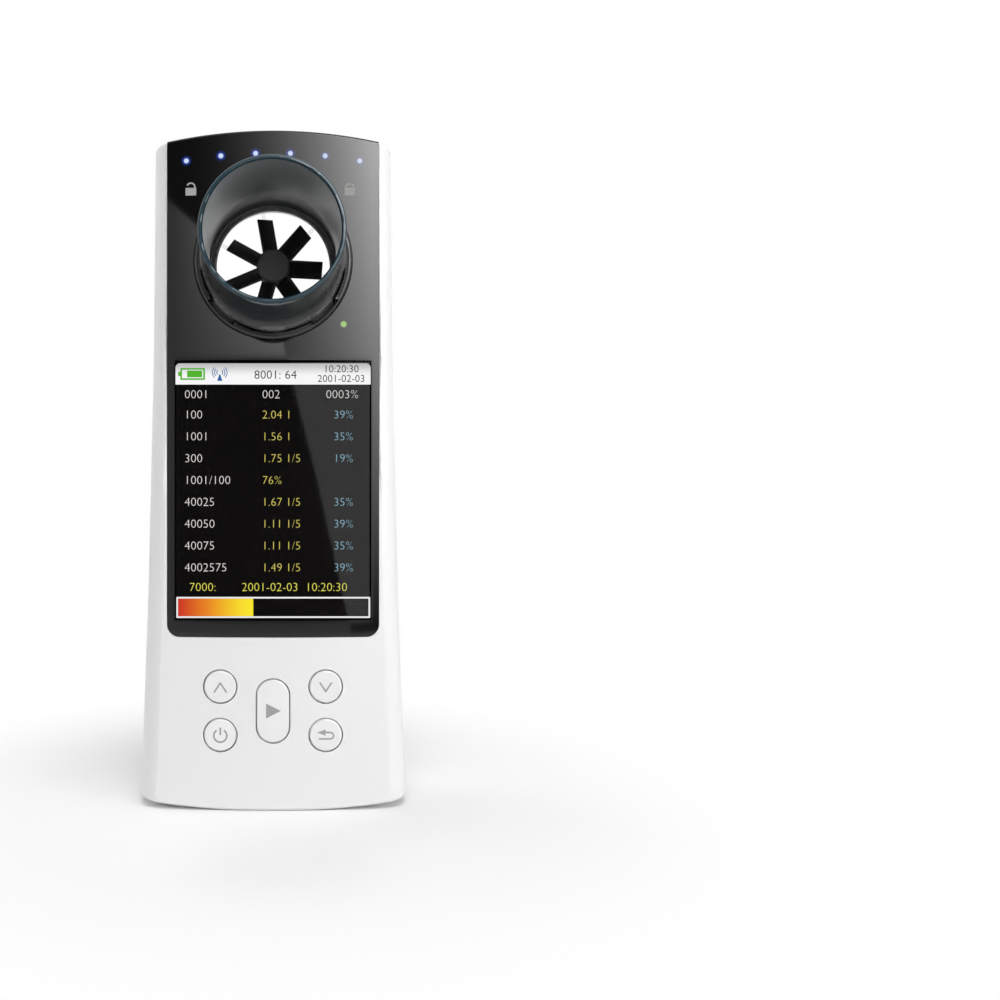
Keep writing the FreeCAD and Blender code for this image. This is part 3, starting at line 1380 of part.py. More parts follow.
def make_hub_cap():
    body = turbine_body("hub_cap")
    front = FRONT + S.hub_front_depth
    item = sketch(body, "cap_profile", "YZ_Plane")
    room = S.pin_head_radius + S.moving_gap
    floor = HUB_FRONT - S.pin_end_gap - S.pin_head_depth - S.pin_end_gap * 2
    edge = S.hub_cap_bevel
    outline(item, [
        (front, ZERO), (floor, ZERO), (floor, room), (HUB_FRONT, room), (HUB_FRONT, S.hub_radius),
        (front + edge, S.hub_radius), (front, S.hub_radius - edge),
    ])
    turn(body, "cap", item)
    return body


# Keys

def crest_depth(across):
    """Depth of the crowned front at a distance from the middle line."""
    across = as_size(across)
    return FRONT + S.crown_radius - root(S.crown_radius * S.crown_radius - across * across)


def finish_key(body, face, item_outline, plunger_at):
    """Rim, cap and post of one key; item_outline draws its face grown by a margin."""
    rim_front = KEY_WALL_BACK + S.key_rest_gap
    rim_back = rim_front + S.key_flange_depth
    item = sketch(body, "cap_profile", level=rim_front)
    item_outline(item, ZERO)
    pad(body, "cap", item, rim_front - face)
    bevel_edges(body, "face_edge", S.key_edge_chamfer, lambda edge: at_depth(edge, face))
    item = sketch(body, "rim_profile", level=rim_back)
    item_outline(item, S.key_flange)
    pad(body, "rim", item, S.key_flange_depth)
    item = sketch(body, "post_profile", level=BOARD_FRONT - S.switch_height + S.plunger_overlap)
    circle(item, plunger_at[0], plunger_at[1], S.plunger_radius)
    pad(body, "post", item, BOARD_FRONT - S.switch_height + S.plunger_overlap - rim_back)


def make_keys():
    bodies = []
    for label, across, height in round_key_places():
        body = new_body(label)

        def round_face(item, grow, across=across, height=height):
            circle(item, across, height, S.key_radius + grow)

        finish_key(body, crest_depth(S.key_spread), round_face, (across, height))
        bodies.append(body)
    body = new_body("play_key")
    finish_key(body, FRONT + S.fit_gap / 2, pill, (ZERO, pill_height()))
    bodies.append(body)
    return bodies


# Screws

def screw(name, across, height, radius, head_radius, head_front, tip):
    """A cross-recess screw along Y, head at the back; tip is the depth of its point."""
    head = rod(name + "_head", head_radius, head_front, S.head_height, across, height)
    shank = rod(name + "_shank", radius, tip, head_front - tip + S.head_height / 2, across, height)
    whole = fuse(name + "_whole", [head, shank])
    half, arm = S.drive_width / 2, head_radius * 0.6
    floor = head_front + S.head_height - S.drive_depth
    top = head_front + S.head_height + S.fit_gap
    upright = box(name + "_upright", across - half, across + half, floor, top, height - arm, height + arm)
    level = box(name + "_level", across - arm, across + arm, floor, top, height - half, height + half)
    return difference(name, whole, fuse(name + "_cross", [upright, level]))


def make_screws():
    case, board = [], []
    for number, (across, height) in enumerate(boss_places()):
        seat = PARTING + S.boss_floor
        case.append(screw("case_screw_%d" % (number + 1), across, height, S.case_screw_radius * 0.8,
                          S.case_screw_head, seat, PARTING - S.case_screw_bite))
    for number, (across, height) in enumerate(post_places()):
        board.append(screw("board_screw_%d" % (number + 1), across, height, S.board_screw_radius,
                           S.board_screw_head, BOARD_BACK, BOARD_BACK - S.board_screw_length))
    return [collection("case_screws", case), collection("board_screws", board)]


def make_all():
    parts = [make_front_shell(), make_rear_shell(), make_front_panel(), make_main_board()]
    parts += make_display()
    parts += make_board_parts()
    parts += make_lamps()
    parts += make_sensor_ring()
    parts += [make_charging_port(), make_key_switches(), make_collar(), make_socket(), make_seal()]
    parts += [make_mouth_tube(), make_insert(), make_carrier(), make_axle_pin()]
    parts += [make_rotor(), make_bushes(), make_hub_cap()]
    parts += make_keys()
    parts += make_screws()
    return parts


def check_document():
    for item in DOCUMENT.Objects:
        if "Invalid" in item.State or "Error" in item.State:
            raise RuntimeError("%s failed: %s" % (item.Name, item.State))


def write_parts(parts):
    """Test every piece before any is written, then write one file each."""
    for part in parts:
        if part.Shape.isNull() or not part.Shape.isValid() or not part.Shape.Solids:
            raise RuntimeError("%s has no valid solid" % part.Label)
    os.makedirs("parts", exist_ok=True)
    for part in parts:
        part.Shape.exportStep(os.path.join("parts", part.Label + ".step"))
        print("%-20s %2d solid(s) %9.1f mm3" % (part.Label, len(part.Shape.Solids), part.Shape.Volume))


PARTS = make_all()
DOCUMENT.recompute()
check_document()
write_parts(PARTS)
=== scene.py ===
import json
import math

import bpy
from mathutils import Matrix, Vector

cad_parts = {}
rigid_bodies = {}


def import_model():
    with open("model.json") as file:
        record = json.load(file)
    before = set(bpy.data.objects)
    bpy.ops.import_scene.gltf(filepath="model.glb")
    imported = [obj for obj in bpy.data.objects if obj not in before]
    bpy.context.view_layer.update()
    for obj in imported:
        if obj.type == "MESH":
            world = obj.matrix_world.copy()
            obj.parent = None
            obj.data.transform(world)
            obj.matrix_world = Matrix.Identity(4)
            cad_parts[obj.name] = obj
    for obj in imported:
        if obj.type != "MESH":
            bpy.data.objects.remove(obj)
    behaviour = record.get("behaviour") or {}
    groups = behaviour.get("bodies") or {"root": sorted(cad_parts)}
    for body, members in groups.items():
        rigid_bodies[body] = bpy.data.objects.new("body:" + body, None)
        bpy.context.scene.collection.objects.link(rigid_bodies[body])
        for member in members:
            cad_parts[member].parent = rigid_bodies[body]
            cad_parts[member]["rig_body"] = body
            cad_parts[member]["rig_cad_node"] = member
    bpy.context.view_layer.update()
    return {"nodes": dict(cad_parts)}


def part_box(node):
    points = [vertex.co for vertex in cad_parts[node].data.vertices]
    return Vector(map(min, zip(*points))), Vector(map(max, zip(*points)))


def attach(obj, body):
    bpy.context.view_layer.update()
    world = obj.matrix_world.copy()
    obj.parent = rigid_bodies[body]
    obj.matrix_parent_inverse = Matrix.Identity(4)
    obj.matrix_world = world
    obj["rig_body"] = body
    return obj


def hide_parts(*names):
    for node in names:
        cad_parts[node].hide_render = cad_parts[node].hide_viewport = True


bl_info = {
    "name": "Turbine spirometer",
    "version": (1, 0, 0),
    "blender": (4, 5, 0),
    "location": "3D View > Sidebar > Spirometer",
    "description": "Dresses a packed handheld spirometer: case, panel, display, tube, turbine and keys",
    "category": "Add Mesh",
}

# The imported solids, loaded once so that sizes can come from them
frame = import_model()

MM = 0.001
PANEL_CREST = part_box("front_panel")[0].y
GLASS_LOW, GLASS_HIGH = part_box("display_glass")
TUBE_LOW, TUBE_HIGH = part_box("mouth_tube")
AXIS_HEIGHT = (TUBE_LOW.z + TUBE_HIGH.z) / 2

# The panel's front is part of a wide upright cylinder
CROWN_RADIUS = 290 * MM

# A print stands this far off what carries it, and each of its lengths a layer off the one before
PRINT_RISE = 0.012 * MM
LAYER = 0.0006 * MM

# How near a corner may lie to a cut and still count as on it
CUT_TOLERANCE = 1e-7

# Corners of a solid's loose triangles that are nearer than this become one
MERGE_DISTANCE = 0.0005 * MM

# Share of full brightness of each status lamp, from left to right
LAMP_GAINS = (1.0, 1.0, 0.95, 0.85, 0.7, 0.55)

# Radius of a status lamp's light pipe as a share of the charge lamp's whole width
PIPE_SHARE = 0.59

# A reflector card's white glows with this strength
CARD_PEAK = 12.0


# Sizes and colours that a user would change

class CaseLook(bpy.types.PropertyGroup):
    shell: bpy.props.FloatVectorProperty(
        name="Case", description="Colour of both case shells", subtype="COLOR",
        default=(0.86, 0.86, 0.865), min=0, max=1)
    panel: bpy.props.FloatVectorProperty(
        name="Panel", description="Colour of the glossy front panel", subtype="COLOR",
        default=(0.006, 0.006, 0.0065), min=0, max=1)
    smooth_angle: bpy.props.FloatProperty(
        name="Smooth angle", description="Edges flatter than this are shaded smooth", subtype="ANGLE",
        default=math.radians(30))


class LampLook(bpy.types.PropertyGroup):
    core: bpy.props.FloatVectorProperty(
        name="Core", description="Colour of a lit lamp", subtype="COLOR",
        default=(0.62, 0.72, 0.95), min=0, max=1)
    halo: bpy.props.FloatVectorProperty(
        name="Halo", description="Glow round a lit lamp", subtype="COLOR",
        default=(0.02, 0.06, 0.42), min=0, max=1)
    charge: bpy.props.FloatVectorProperty(
        name="Charge", description="Colour of the charge lamp", subtype="COLOR",
        default=(0.28, 0.5, 0.1), min=0, max=1)
    radius: bpy.props.FloatProperty(
        name="Radius", description="Lit radius of a status lamp", subtype="DISTANCE", default=0.62 * MM)
    halo_radius: bpy.props.FloatProperty(
        name="Halo radius", description="Reach of its glow", subtype="DISTANCE", default=1.75 * MM)


class TubeLook(bpy.types.PropertyGroup):
    outside: bpy.props.FloatVectorProperty(
        name="Outside", description="Smoky outer wall", subtype="COLOR",
        default=(0.032, 0.035, 0.037), min=0, max=1)
    # Painted highlight: the outer wall is coloured lighter at the flared foot, standing in for light
    # caught by its concave flare
    foot: bpy.props.FloatVectorProperty(
        name="Foot", description="Outer wall at the flared foot", subtype="COLOR",
        default=(0.2, 0.2, 0.2), min=0, max=1)
    inside: bpy.props.FloatVectorProperty(
        name="Inside", description="Frosted inner wall", subtype="COLOR",
        default=(0.135, 0.143, 0.147), min=0, max=1)
    rim: bpy.props.FloatVectorProperty(
        name="Rim", description="Edge of the clear material at the mouth", subtype="COLOR",
        default=(0.006, 0.028, 0.042), min=0, max=1)


class DisplayLook(bpy.types.PropertyGroup):
    gloss: bpy.props.FloatProperty(
        name="Gloss", description="How strongly the display mirrors", subtype="FACTOR",
        default=0.28, min=0, max=1)
    row_pitch: bpy.props.FloatProperty(
        name="Row pitch", description="From one line of the table to the next", subtype="DISTANCE",
        default=5.51 * MM)
    first_row: bpy.props.FloatProperty(
        name="First row", description="Height of the table's first line", subtype="DISTANCE",
        default=99.26 * MM)
    text_size: bpy.props.FloatProperty(
        name="Text size", description="Size of the figures", subtype="DISTANCE", default=3.1 * MM)
    label: bpy.props.FloatVectorProperty(
        name="Labels", description="Left column", subtype="COLOR",
        default=(0.78, 0.76, 0.74), min=0, max=1)
    value: bpy.props.FloatVectorProperty(
        name="Values", description="Middle column", subtype="COLOR",
        default=(0.7, 0.62, 0.13), min=0, max=1)
    share: bpy.props.FloatVectorProperty(
        name="Shares", description="Right column", subtype="COLOR",
        default=(0.27, 0.48, 0.6), min=0, max=1)
    stamp: bpy.props.FloatVectorProperty(
        name="Time line", description="Line below the table", subtype="COLOR",
        default=(0.85, 0.8, 0.12), min=0, max=1)


class KeyLook(bpy.types.PropertyGroup):
    face: bpy.props.FloatVectorProperty(
        name="Keys", description="Colour of the keys", subtype="COLOR",
        default=(0.88, 0.88, 0.885), min=0, max=1)
    sign: bpy.props.FloatVectorProperty(
        name="Signs", description="Colour of the printed signs", subtype="COLOR",
        default=(0.34, 0.34, 0.35), min=0, max=1)
    line: bpy.props.FloatProperty(
        name="Line", description="Width of a printed line", subtype="DISTANCE", default=0.42 * MM)


class StudioLook(bpy.types.PropertyGroup):
    camera_distance: bpy.props.FloatProperty(
        name="Camera distance", description="From the camera to the panel's crest", subtype="DISTANCE",
        default=0.24)
    camera_height: bpy.props.FloatProperty(
        name="Camera height", description="Above the floor", subtype="DISTANCE", default=0.0821)
    camera_across: bpy.props.FloatProperty(
        name="Camera across", description="Right of the case's middle line", subtype="DISTANCE",
        default=0.00175)
    lens: bpy.props.FloatProperty(
        name="Lens", description="Focal length on a sensor 36 mm wide", unit="CAMERA", default=34.56)
    room: bpy.props.FloatProperty(
        name="Room light", description="Strength of the even light all round", default=0.25)


SETTINGS = {
    "case_look": CaseLook, "lamp_look": LampLook, "tube_look": TubeLook, "display_look": DisplayLook,
    "key_look": KeyLook, "studio_look": StudioLook,
}


# Shader maths

class Signal:
    """An output socket; arithmetic on it adds Math nodes."""

    def __init__(self, nodes, socket):
        self.nodes = nodes
        self.socket = socket

    def maths(self, operation, *values):
        node = self.nodes.add("ShaderNodeMath", {"operation": operation}, dict(enumerate(values)))
        return Signal(self.nodes, node.outputs[0])

    def __add__(self, other):
        return self.maths("ADD", self, other)

    def __radd__(self, other):
        return self.maths("ADD", other, self)

    def __sub__(self, other):
        return self.maths("SUBTRACT", self, other)

    def __rsub__(self, other):
        return self.maths("SUBTRACT", other, self)

    def __mul__(self, other):
        return self.maths("MULTIPLY", self, other)

    def __rmul__(self, other):
        return self.maths("MULTIPLY", other, self)

    def __truediv__(self, other):
        return self.maths("DIVIDE", self, other)

    def __rtruediv__(self, other):
        return self.maths("DIVIDE", other, self)

    def over(self, limit):
        return self.maths("GREATER_THAN", self, limit)

    def under(self, limit):
        return self.maths("LESS_THAN", self, limit)

    def least(self, other):
        return self.maths("MINIMUM", self, other)

    def most(self, other):
        return self.maths("MAXIMUM", self, other)

    def power(self, exponent):
        return self.maths("POWER", self, exponent)

    def root(self):
        return self.maths("SQRT", self)

    def ease(self, start, end):
        """0 at start and 1 at end, smooth between them."""
        node = self.nodes.add("ShaderNodeMapRange", {"interpolation_type": "SMOOTHSTEP"},
                              {"Value": self, "From Min": start, "From Max": end})
        return Signal(self.nodes, node.outputs[0])


def distance_from(first, second, place):
    """How far the two signals are from a place that is given by two numbers."""
    side = first - place[0]
    rise = second - place[1]
    return (side * side + rise * rise).root()


def solid(colour):
    """A colour with its fourth number."""
    return (*colour[:3], 1)


class Nodes:
    """A node tree and the ways to add to it."""

    def __init__(self, tree):
        self.tree = tree

    def add(self, kind, settings=None, inputs=None):
        node = self.tree.nodes.new(kind)
        for key, value in (settings or {}).items():
            setattr(node, key, value)
        for key, value in (inputs or {}).items():
            self.join(value, node.inputs[key])
        return node

    def join(self, value, socket):
        if isinstance(value, Signal):
            self.tree.links.new(value.socket, socket)
        elif isinstance(value, bpy.types.NodeSocket):
            self.tree.links.new(value, socket)
        else:
            socket.default_value = value

    def seen_by(self, *rays):
        """1 for the named kinds of ray, 0 for all others."""
        path = self.add("ShaderNodeLightPath")
        seen = Signal(self, path.outputs[rays[0]])
        for ray in rays[1:]:
            seen = seen.most(Signal(self, path.outputs[ray]))
        return seen

    def place(self):
        """Across, depth and height on the object, in millimetres."""
        coordinates = self.add("ShaderNodeTexCoord")
        split = self.add("ShaderNodeSeparateXYZ", None, {0: coordinates.outputs["Object"]})
        return [Signal(self, split.outputs[axis]) / MM for axis in range(3)]

    def blend(self, factor, first, second):
        """A colour between two colours."""
        node = self.add("ShaderNodeMix", {"data_type": "RGBA"}, {0: factor, 6: first, 7: second})
        return node.outputs[2]


class Finish(Nodes):
    """A material with one Principled shader, built up from signals."""

    def __init__(self, name, colour, roughness, **constants):
        self.material = bpy.data.materials.new(name)
        self.material.use_nodes = True
        self.material.diffuse_color = solid(colour)
        super().__init__(self.material.node_tree)
        self.shader = self.tree.nodes["Principled BSDF"]
        self.output = self.tree.nodes["Material Output"]
        self.feed("Base Color", solid(colour))
        self.feed("Roughness", roughness)
        for socket, value in constants.items():
            self.feed(socket.replace("_", " "), value)

    def feed(self, socket, value):
        self.join(value, self.shader.inputs[socket])

    def glow(self, colour, strength=1.0):
        self.feed("Emission Color", colour)
        self.feed("Emission Strength", strength)

    def cover(self, factor, other):
        """Show another shader where the factor is 1."""
        both = self.add("ShaderNodeMixShader", None,
                        {0: factor, 1: self.shader.outputs[0], 2: other.outputs[0]})
        self.join(both.outputs[0], self.output.inputs["Surface"])

    def grain(self, scale, strength, distance=0.02 * MM):
        """Fine moulded texture as a bump."""
        coordinates = self.add("ShaderNodeTexCoord")
        noise = self.add("ShaderNodeTexNoise", None,
                         {"Vector": coordinates.outputs["Object"], "Scale": scale, "Detail": 2.0})
        bump = self.add("ShaderNodeBump", None,
                        {"Height": noise.outputs["Fac"], "Strength": strength, "Distance": distance})
        self.feed("Normal", bump.outputs[0])


def unlit(name):
    """A black finish without gloss, which shows only what it is made to glow."""
    return Finish(name, (0, 0, 0), 0.5, Specular_IOR_Level=0.0)


def glowing(name, colour):
    """A lit patch of the display that shows its own colour."""
    finish = unlit(name)
    finish.glow(solid(colour))
    return finish.material


# Modelling steps that several pieces share

def deselect():
    """Leave edit mode and select nothing."""
    if bpy.context.object and bpy.context.object.mode != "OBJECT":
        bpy.ops.object.mode_set(mode="OBJECT")
    bpy.ops.object.select_all(action="DESELECT")


def only(item):
    """Select one piece alone."""
    deselect()
    item.select_set(True)
    bpy.context.view_layer.objects.active = item
    return item


def settle(item):
    """Put the piece's place in its mesh, as a solid's is."""
    only(item)
    bpy.ops.object.transform_apply(location=True, rotation=True, scale=True)
    return item


def set_finishes(item, *materials):
    item.data.materials.clear()
    for material in materials:
        item.data.materials.append(material)


def hand_over(item, body, material, slot_name, *nodes):
    """Give a finished piece its material, its body and the solids that it stands for."""
    if material:
        set_finishes(item, material)
    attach(item, body)
    if nodes:
        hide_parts(*nodes)
    return item


def merged_copy(node, name, angle=math.radians(30)):
    """A copy of a solid with its loose triangles merged and its curves shaded smooth."""
    if node not in frame["nodes"]:
        raise RuntimeError("no solid is named " + node)
    only(frame["nodes"][node])
    bpy.ops.object.duplicate()
    item = bpy.context.object
    item.name = name
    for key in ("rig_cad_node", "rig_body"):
        if key in item:
            del item[key]
    item.parent = None
    bpy.ops.object.mode_set(mode="EDIT")
    bpy.ops.mesh.select_all(action="SELECT")
    bpy.ops.mesh.remove_doubles(threshold=MERGE_DISTANCE)
    bpy.ops.object.mode_set(mode="OBJECT")
    bpy.ops.object.shade_smooth_by_angle(angle=angle)
    bpy.ops.object.modifier_add(type="WEIGHTED_NORMAL")
    item.modifiers[-1].keep_sharp = True
    bpy.ops.object.modifier_apply(modifier=item.modifiers[-1].name)
    return item


def crown_normals(item):
    """Shade the front as the panel's true curve and a flat back as flat, whatever their faces."""
    flat_play = 0.02 * MM
    curve_play = 0.12 * MM
    mesh = item.data
    normals = [corner.vector.copy() for corner in mesh.corner_normals]
    front = min(vertex.co.y for vertex in mesh.vertices)
    back = max(vertex.co.y for vertex in mesh.vertices)
    for face in mesh.polygons:
        if face.normal.y > 0.999 and face.center.y > back - flat_play:
            for loop in face.loop_indices:
                normals[loop] = Vector((0, 1, 0))
        on_curve = abs(face.center.y - crown_depth(face.center.x)) < curve_play
        on_front = face.center.y < front + flat_play
        if face.normal.y <= -0.97 and (on_curve or on_front):
            for loop in face.loop_indices:
                lean = mesh.vertices[mesh.loops[loop].vertex_index].co.x / CROWN_RADIUS
                normals[loop] = Vector((lean, -math.sqrt(1 - lean * lean), 0))
    mesh.normals_split_custom_set(normals)
    return item


def pick_faces(item, test):
    """Select the faces that the test accepts, by centre and normal."""
    only(item)
    bpy.ops.object.mode_set(mode="EDIT")
    bpy.ops.mesh.select_mode(type="FACE")
    bpy.ops.mesh.select_all(action="DESELECT")
    bpy.ops.object.mode_set(mode="OBJECT")
    for face in item.data.polygons:
        face.select = bool(test(face.center, face.normal))
    bpy.ops.object.mode_set(mode="EDIT")


def paint_faces(item, slot_index, test):
    """Give the faces that the test accepts another of the piece's materials."""
    pick_faces(item, test)
    item.active_material_index = slot_index
    bpy.ops.object.material_slot_assign()
    bpy.ops.object.mode_set(mode="OBJECT")


def join_all(items, name):
    """Make one piece of several and give it its name."""
    deselect()
    for item in items:
        item.select_set(True)
    bpy.context.view_layer.objects.active = items[0]
    if len(items) > 1:
        bpy.ops.object.join()
    items[0].name = name
    return items[0]


def from_axis(point):
    """Distance and direction of a point from the turbine axis."""
    return Vector((point.x, 0, point.z - AXIS_HEIGHT))


def crown_depth(across):
    """Depth of the panel's crowned front at a distance from the middle line."""
    return PANEL_CREST + CROWN_RADIUS - math.sqrt(CROWN_RADIUS ** 2 - across ** 2)


def flat_patch(name, left, right, low, high, depth, round_by=0.0):
    """A flat upright rectangle facing the front; round_by rounds its upper corners."""
    deselect()
    bpy.ops.mesh.primitive_plane_add(size=1, location=((left + right) / 2, depth, (low + high) / 2),
                                     rotation=(math.radians(90), 0, 0))
    item = bpy.context.object
    item.name = name
    item.scale = (right - left, high - low, 1)
    settle(item)
    if round_by:
        bpy.ops.object.mode_set(mode="EDIT")
        bpy.ops.mesh.select_mode(type="VERT")
        bpy.ops.mesh.select_all(action="DESELECT")
        bpy.ops.object.mode_set(mode="OBJECT")
        for vertex in item.data.vertices:
            vertex.select = vertex.co.z > (low + high) / 2
        bpy.ops.object.mode_set(mode="EDIT")
        bpy.ops.mesh.bevel(offset=round_by, segments=6, affect="VERTICES")
        bpy.ops.object.mode_set(mode="OBJECT")
    return item


def spots(across, height, *offsets):
    """Points as (across, height), at offsets in millimetres from a place."""
    return [(across + right * MM, height + up * MM) for right, up in offsets]


def outline(left, right, low, high):
    """The corners of an upright rectangle, ending at the first again."""
    return [(left, low), (right, low), (right, high), (left, high), (left, low)]


def stroke(points, depth, width):
    """A printed line of even width through points given as (across, height)."""
    pieces = []
    for number, ((x1, z1), (x2, z2)) in enumerate(zip(points, points[1:])):
        length = math.hypot(x2 - x1, z2 - z1)
        deselect()
        bpy.ops.mesh.primitive_plane_add(size=1)
        item = bpy.context.object
        item.scale = (length + width * 0.5, width, 1)
        item.rotation_euler = (math.radians(90), -math.atan2(z2 - z1, x2 - x1), 0)
        item.location = ((x1 + x2) / 2, depth - LAYER * number, (z1 + z2) / 2)
        pieces.append(settle(item))
    return join_all(pieces, "stroke")


def arc_points(across, height, radius, start, end, steps=20):
    """Points along an arc; angles in degrees, counted from +X towards up."""
    points = []
    for step in range(steps + 1):
        angle = math.radians(start + (end - start) * step / steps)
        points.append((across + radius * math.cos(angle), height + radius * math.sin(angle)))
    return points


def patch_from(points, depth, name):
    """A flat shape with straight sides and no hollow corner, cut from a rectangle along its sides."""
    across = [point[0] for point in points]
    heights = [point[1] for point in points]
    item = flat_patch(name, min(across), max(across), min(heights), max(heights), depth)
    middle = Vector((sum(across) / len(points), 0, sum(heights) / len(points)))
    for (x1, z1), (x2, z2) in zip(points, points[1:] + points[:1]):
        outwards = Vector((z2 - z1, 0, x1 - x2)).normalized()
        if outwards.dot(middle - Vector((x1, 0, z1))) > 0:
            outwards.negate()
        bpy.ops.object.mode_set(mode="EDIT")
        bpy.ops.mesh.select_all(action="SELECT")
        bpy.ops.mesh.bisect(plane_co=(x1, depth, z1), plane_no=outwards, clear_outer=True,
                            threshold=CUT_TOLERANCE)
        bpy.ops.object.mode_set(mode="OBJECT")
    return item


def lay_on_crown(item, across, depth):
    """Turn a flat print about an upright line so that it lies along the panel's curve."""
    lean = math.asin(across / CROWN_RADIUS)
    place = Vector((across, depth, 0))
    item.rotation_euler = (0, 0, lean)
    item.location = place - Matrix.Rotation(lean, 3, "Z") @ place
    return settle(item)


def words(text, across, height, size, depth, align="LEFT", thin_by=0.065 * MM):
    """Figures as a flat mesh; height is that of the line's middle."""
    deselect()
    bpy.ops.object.text_add(location=(across, depth, height), rotation=(math.radians(90), 0, 0))
    item = bpy.context.object
    item.data.body = text
    item.data.size = size
    item.data.align_x = align
    item.data.align_y = "CENTER"
    item.data.offset = -thin_by
    item.data.resolution_u = 3
    bpy.ops.object.convert(target="MESH")
    return settle(bpy.context.object)


# Operators, one for each piece or group of like pieces

class DressCase(bpy.types.Operator):
    """Smooth white shells, their screws and the inlet"""
    bl_idname = "spirometer.case"
    bl_label = "Case"

    def execute(self, context):
        look = context.scene.case_look
        white = Finish("case_white", look.shell, 0.38, Specular_IOR_Level=0.5)
        white.grain(2600.0, 0.05)
        for node, name in (("front_shell", "case_front"), ("rear_shell", "case_rear")):
            item = crown_normals(merged_copy(node, name, look.smooth_angle))
            hand_over(item, "housing", white.material, "white_shell", node)
        steel = Finish("screw_steel", (0.42, 0.43, 0.45), 0.32, Metallic=1.0)
        screws = merged_copy("case_screws", "back_screws")
        hand_over(screws, "housing", steel.material, "steel", "case_screws")
        inlet = merged_copy("charging_port", "inlet_shell")
        hand_over(inlet, "housing", steel.material, "thin_metal", "charging_port")
        return {"FINISHED"}


def lamp_centres():
    """The status lamps, read from the light pipes behind the panel, as (across, height)."""
    corners = [vertex.co for vertex in frame["nodes"]["status_light_pipes"].data.vertices]
    left = min(corner.x for corner in corners)
    right = max(corner.x for corner in corners)
    charge_low, charge_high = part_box("charge_light_pipe")
    radius = (charge_high.x - charge_low.x) * PIPE_SHARE
    pitch = (right - left - 2 * radius) / (len(LAMP_GAINS) - 1)
    centres = []
    for number in range(len(LAMP_GAINS)):
        across = left + radius + pitch * number
        near = [corner.z for corner in corners if abs(corner.x - across) < pitch / 2]
        centres.append((across, (min(near) + max(near)) / 2))
    return centres


def window_mask(finish):
    """1 over the display's clear window, 0 elsewhere on the panel."""
    side_inset, foot_inset, top_inset = 0.6, 2.6, 1.1
    across, _, height = finish.place()
    sides = across.over(GLASS_LOW.x / MM + side_inset) * across.under(GLASS_HIGH.x / MM - side_inset)
    above = height.over(GLASS_LOW.z / MM + foot_inset)
    return sides * above * height.under(GLASS_HIGH.z / MM - top_inset)


def panel_finish(scene):
    """Black gloss with a clear window over the display and lit spots where the lamps shine through."""
    look = scene.case_look
    lamps = scene.lamp_look
    lit = lamps.radius / MM
    reach = lamps.halo_radius / MM
    charge_lit, charge_reach = 0.4, 1.0
    finish = Finish("panel_black", look.panel, 0.05, Specular_IOR_Level=0.5)
    across, _, height = finish.place()
    cores = 0.0
    halos = 0.0
    for (lamp_across, lamp_height), gain in zip(lamp_centres(), LAMP_GAINS):
        distance = distance_from(across, height, (lamp_across / MM, lamp_height / MM))
        cores = cores + distance.ease(lit * 1.2, lit * 0.75) * gain
        halos = halos + distance.ease(reach, lit * 0.6) * gain
    low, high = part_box("charge_light_pipe")
    middle = (low + high) / 2 / MM
    charge = distance_from(across, height, (middle.x, middle.z)).ease(charge_reach, charge_lit)
    colour = finish.blend(halos * halos, (0, 0, 0, 1), solid(lamps.halo))
    colour = finish.blend(cores, colour, solid(lamps.core))
    finish.glow(finish.blend(charge, colour, solid(lamps.charge)))
    return clear_window(finish)


def clear_window(finish):
    """Let the display be seen: clear over the window, the finish's own shader elsewhere."""
    finish.cover(window_mask(finish), finish.add("ShaderNodeBsdfTransparent"))
    return finish.material


class DressPanel(bpy.types.Operator):
    """Black front panel with its clear window, lamps and lock signs"""
    bl_idname = "spirometer.panel"
    bl_label = "Front panel"

    def execute(self, context):
        item = crown_normals(merged_copy("front_panel", "panel_sheet"))
        front = panel_finish(context.scene)
        back = Finish("panel_back", (0.004, 0.004, 0.004), 0.6, Specular_IOR_Level=0.0)
        set_finishes(item, front, clear_window(back))
        paint_faces(item, 1, lambda centre, normal: normal.y > 0.9)
        hand_over(item, "housing", None, "black_panel", "front_panel")
        self.lock("open_lock", -20.6 * MM, (0.42, 0.42, 0.42), True)
        self.lock("closed_lock", 19.3 * MM, (0.27, 0.27, 0.26), False)
        return {"FINISHED"}

    def lock(self, name, across, colour, is_open):
        """A printed padlock: a solid block under a bow, which is open on its left if asked."""
        low, wide, tall = 154.2 * MM, 2.7 * MM, 1.9 * MM
        bow_radius, line = 1.02 * MM, 0.36 * MM
        high = low + tall
        depth = crown_depth(across) - PRINT_RISE
        block = flat_patch("lock_block", across - wide / 2, across + wide / 2, low, high, depth)
        if is_open:
            points = arc_points(across, high + 0.17 * MM, bow_radius, 0, 150, 14)
            points = [(across + bow_radius, high - 0.1 * MM)] + points
        else:
            points = arc_points(across, high - 0.05 * MM, bow_radius, 0, 180, 14)
        bow = stroke(points, depth - LAYER, line)
        item = lay_on_crown(join_all([block, bow], name), across, depth)
        ink = Finish(name + "_ink", colour, 0.5, Specular_IOR_Level=0.2)
        hand_over(item, "housing", ink.material, "black_panel")


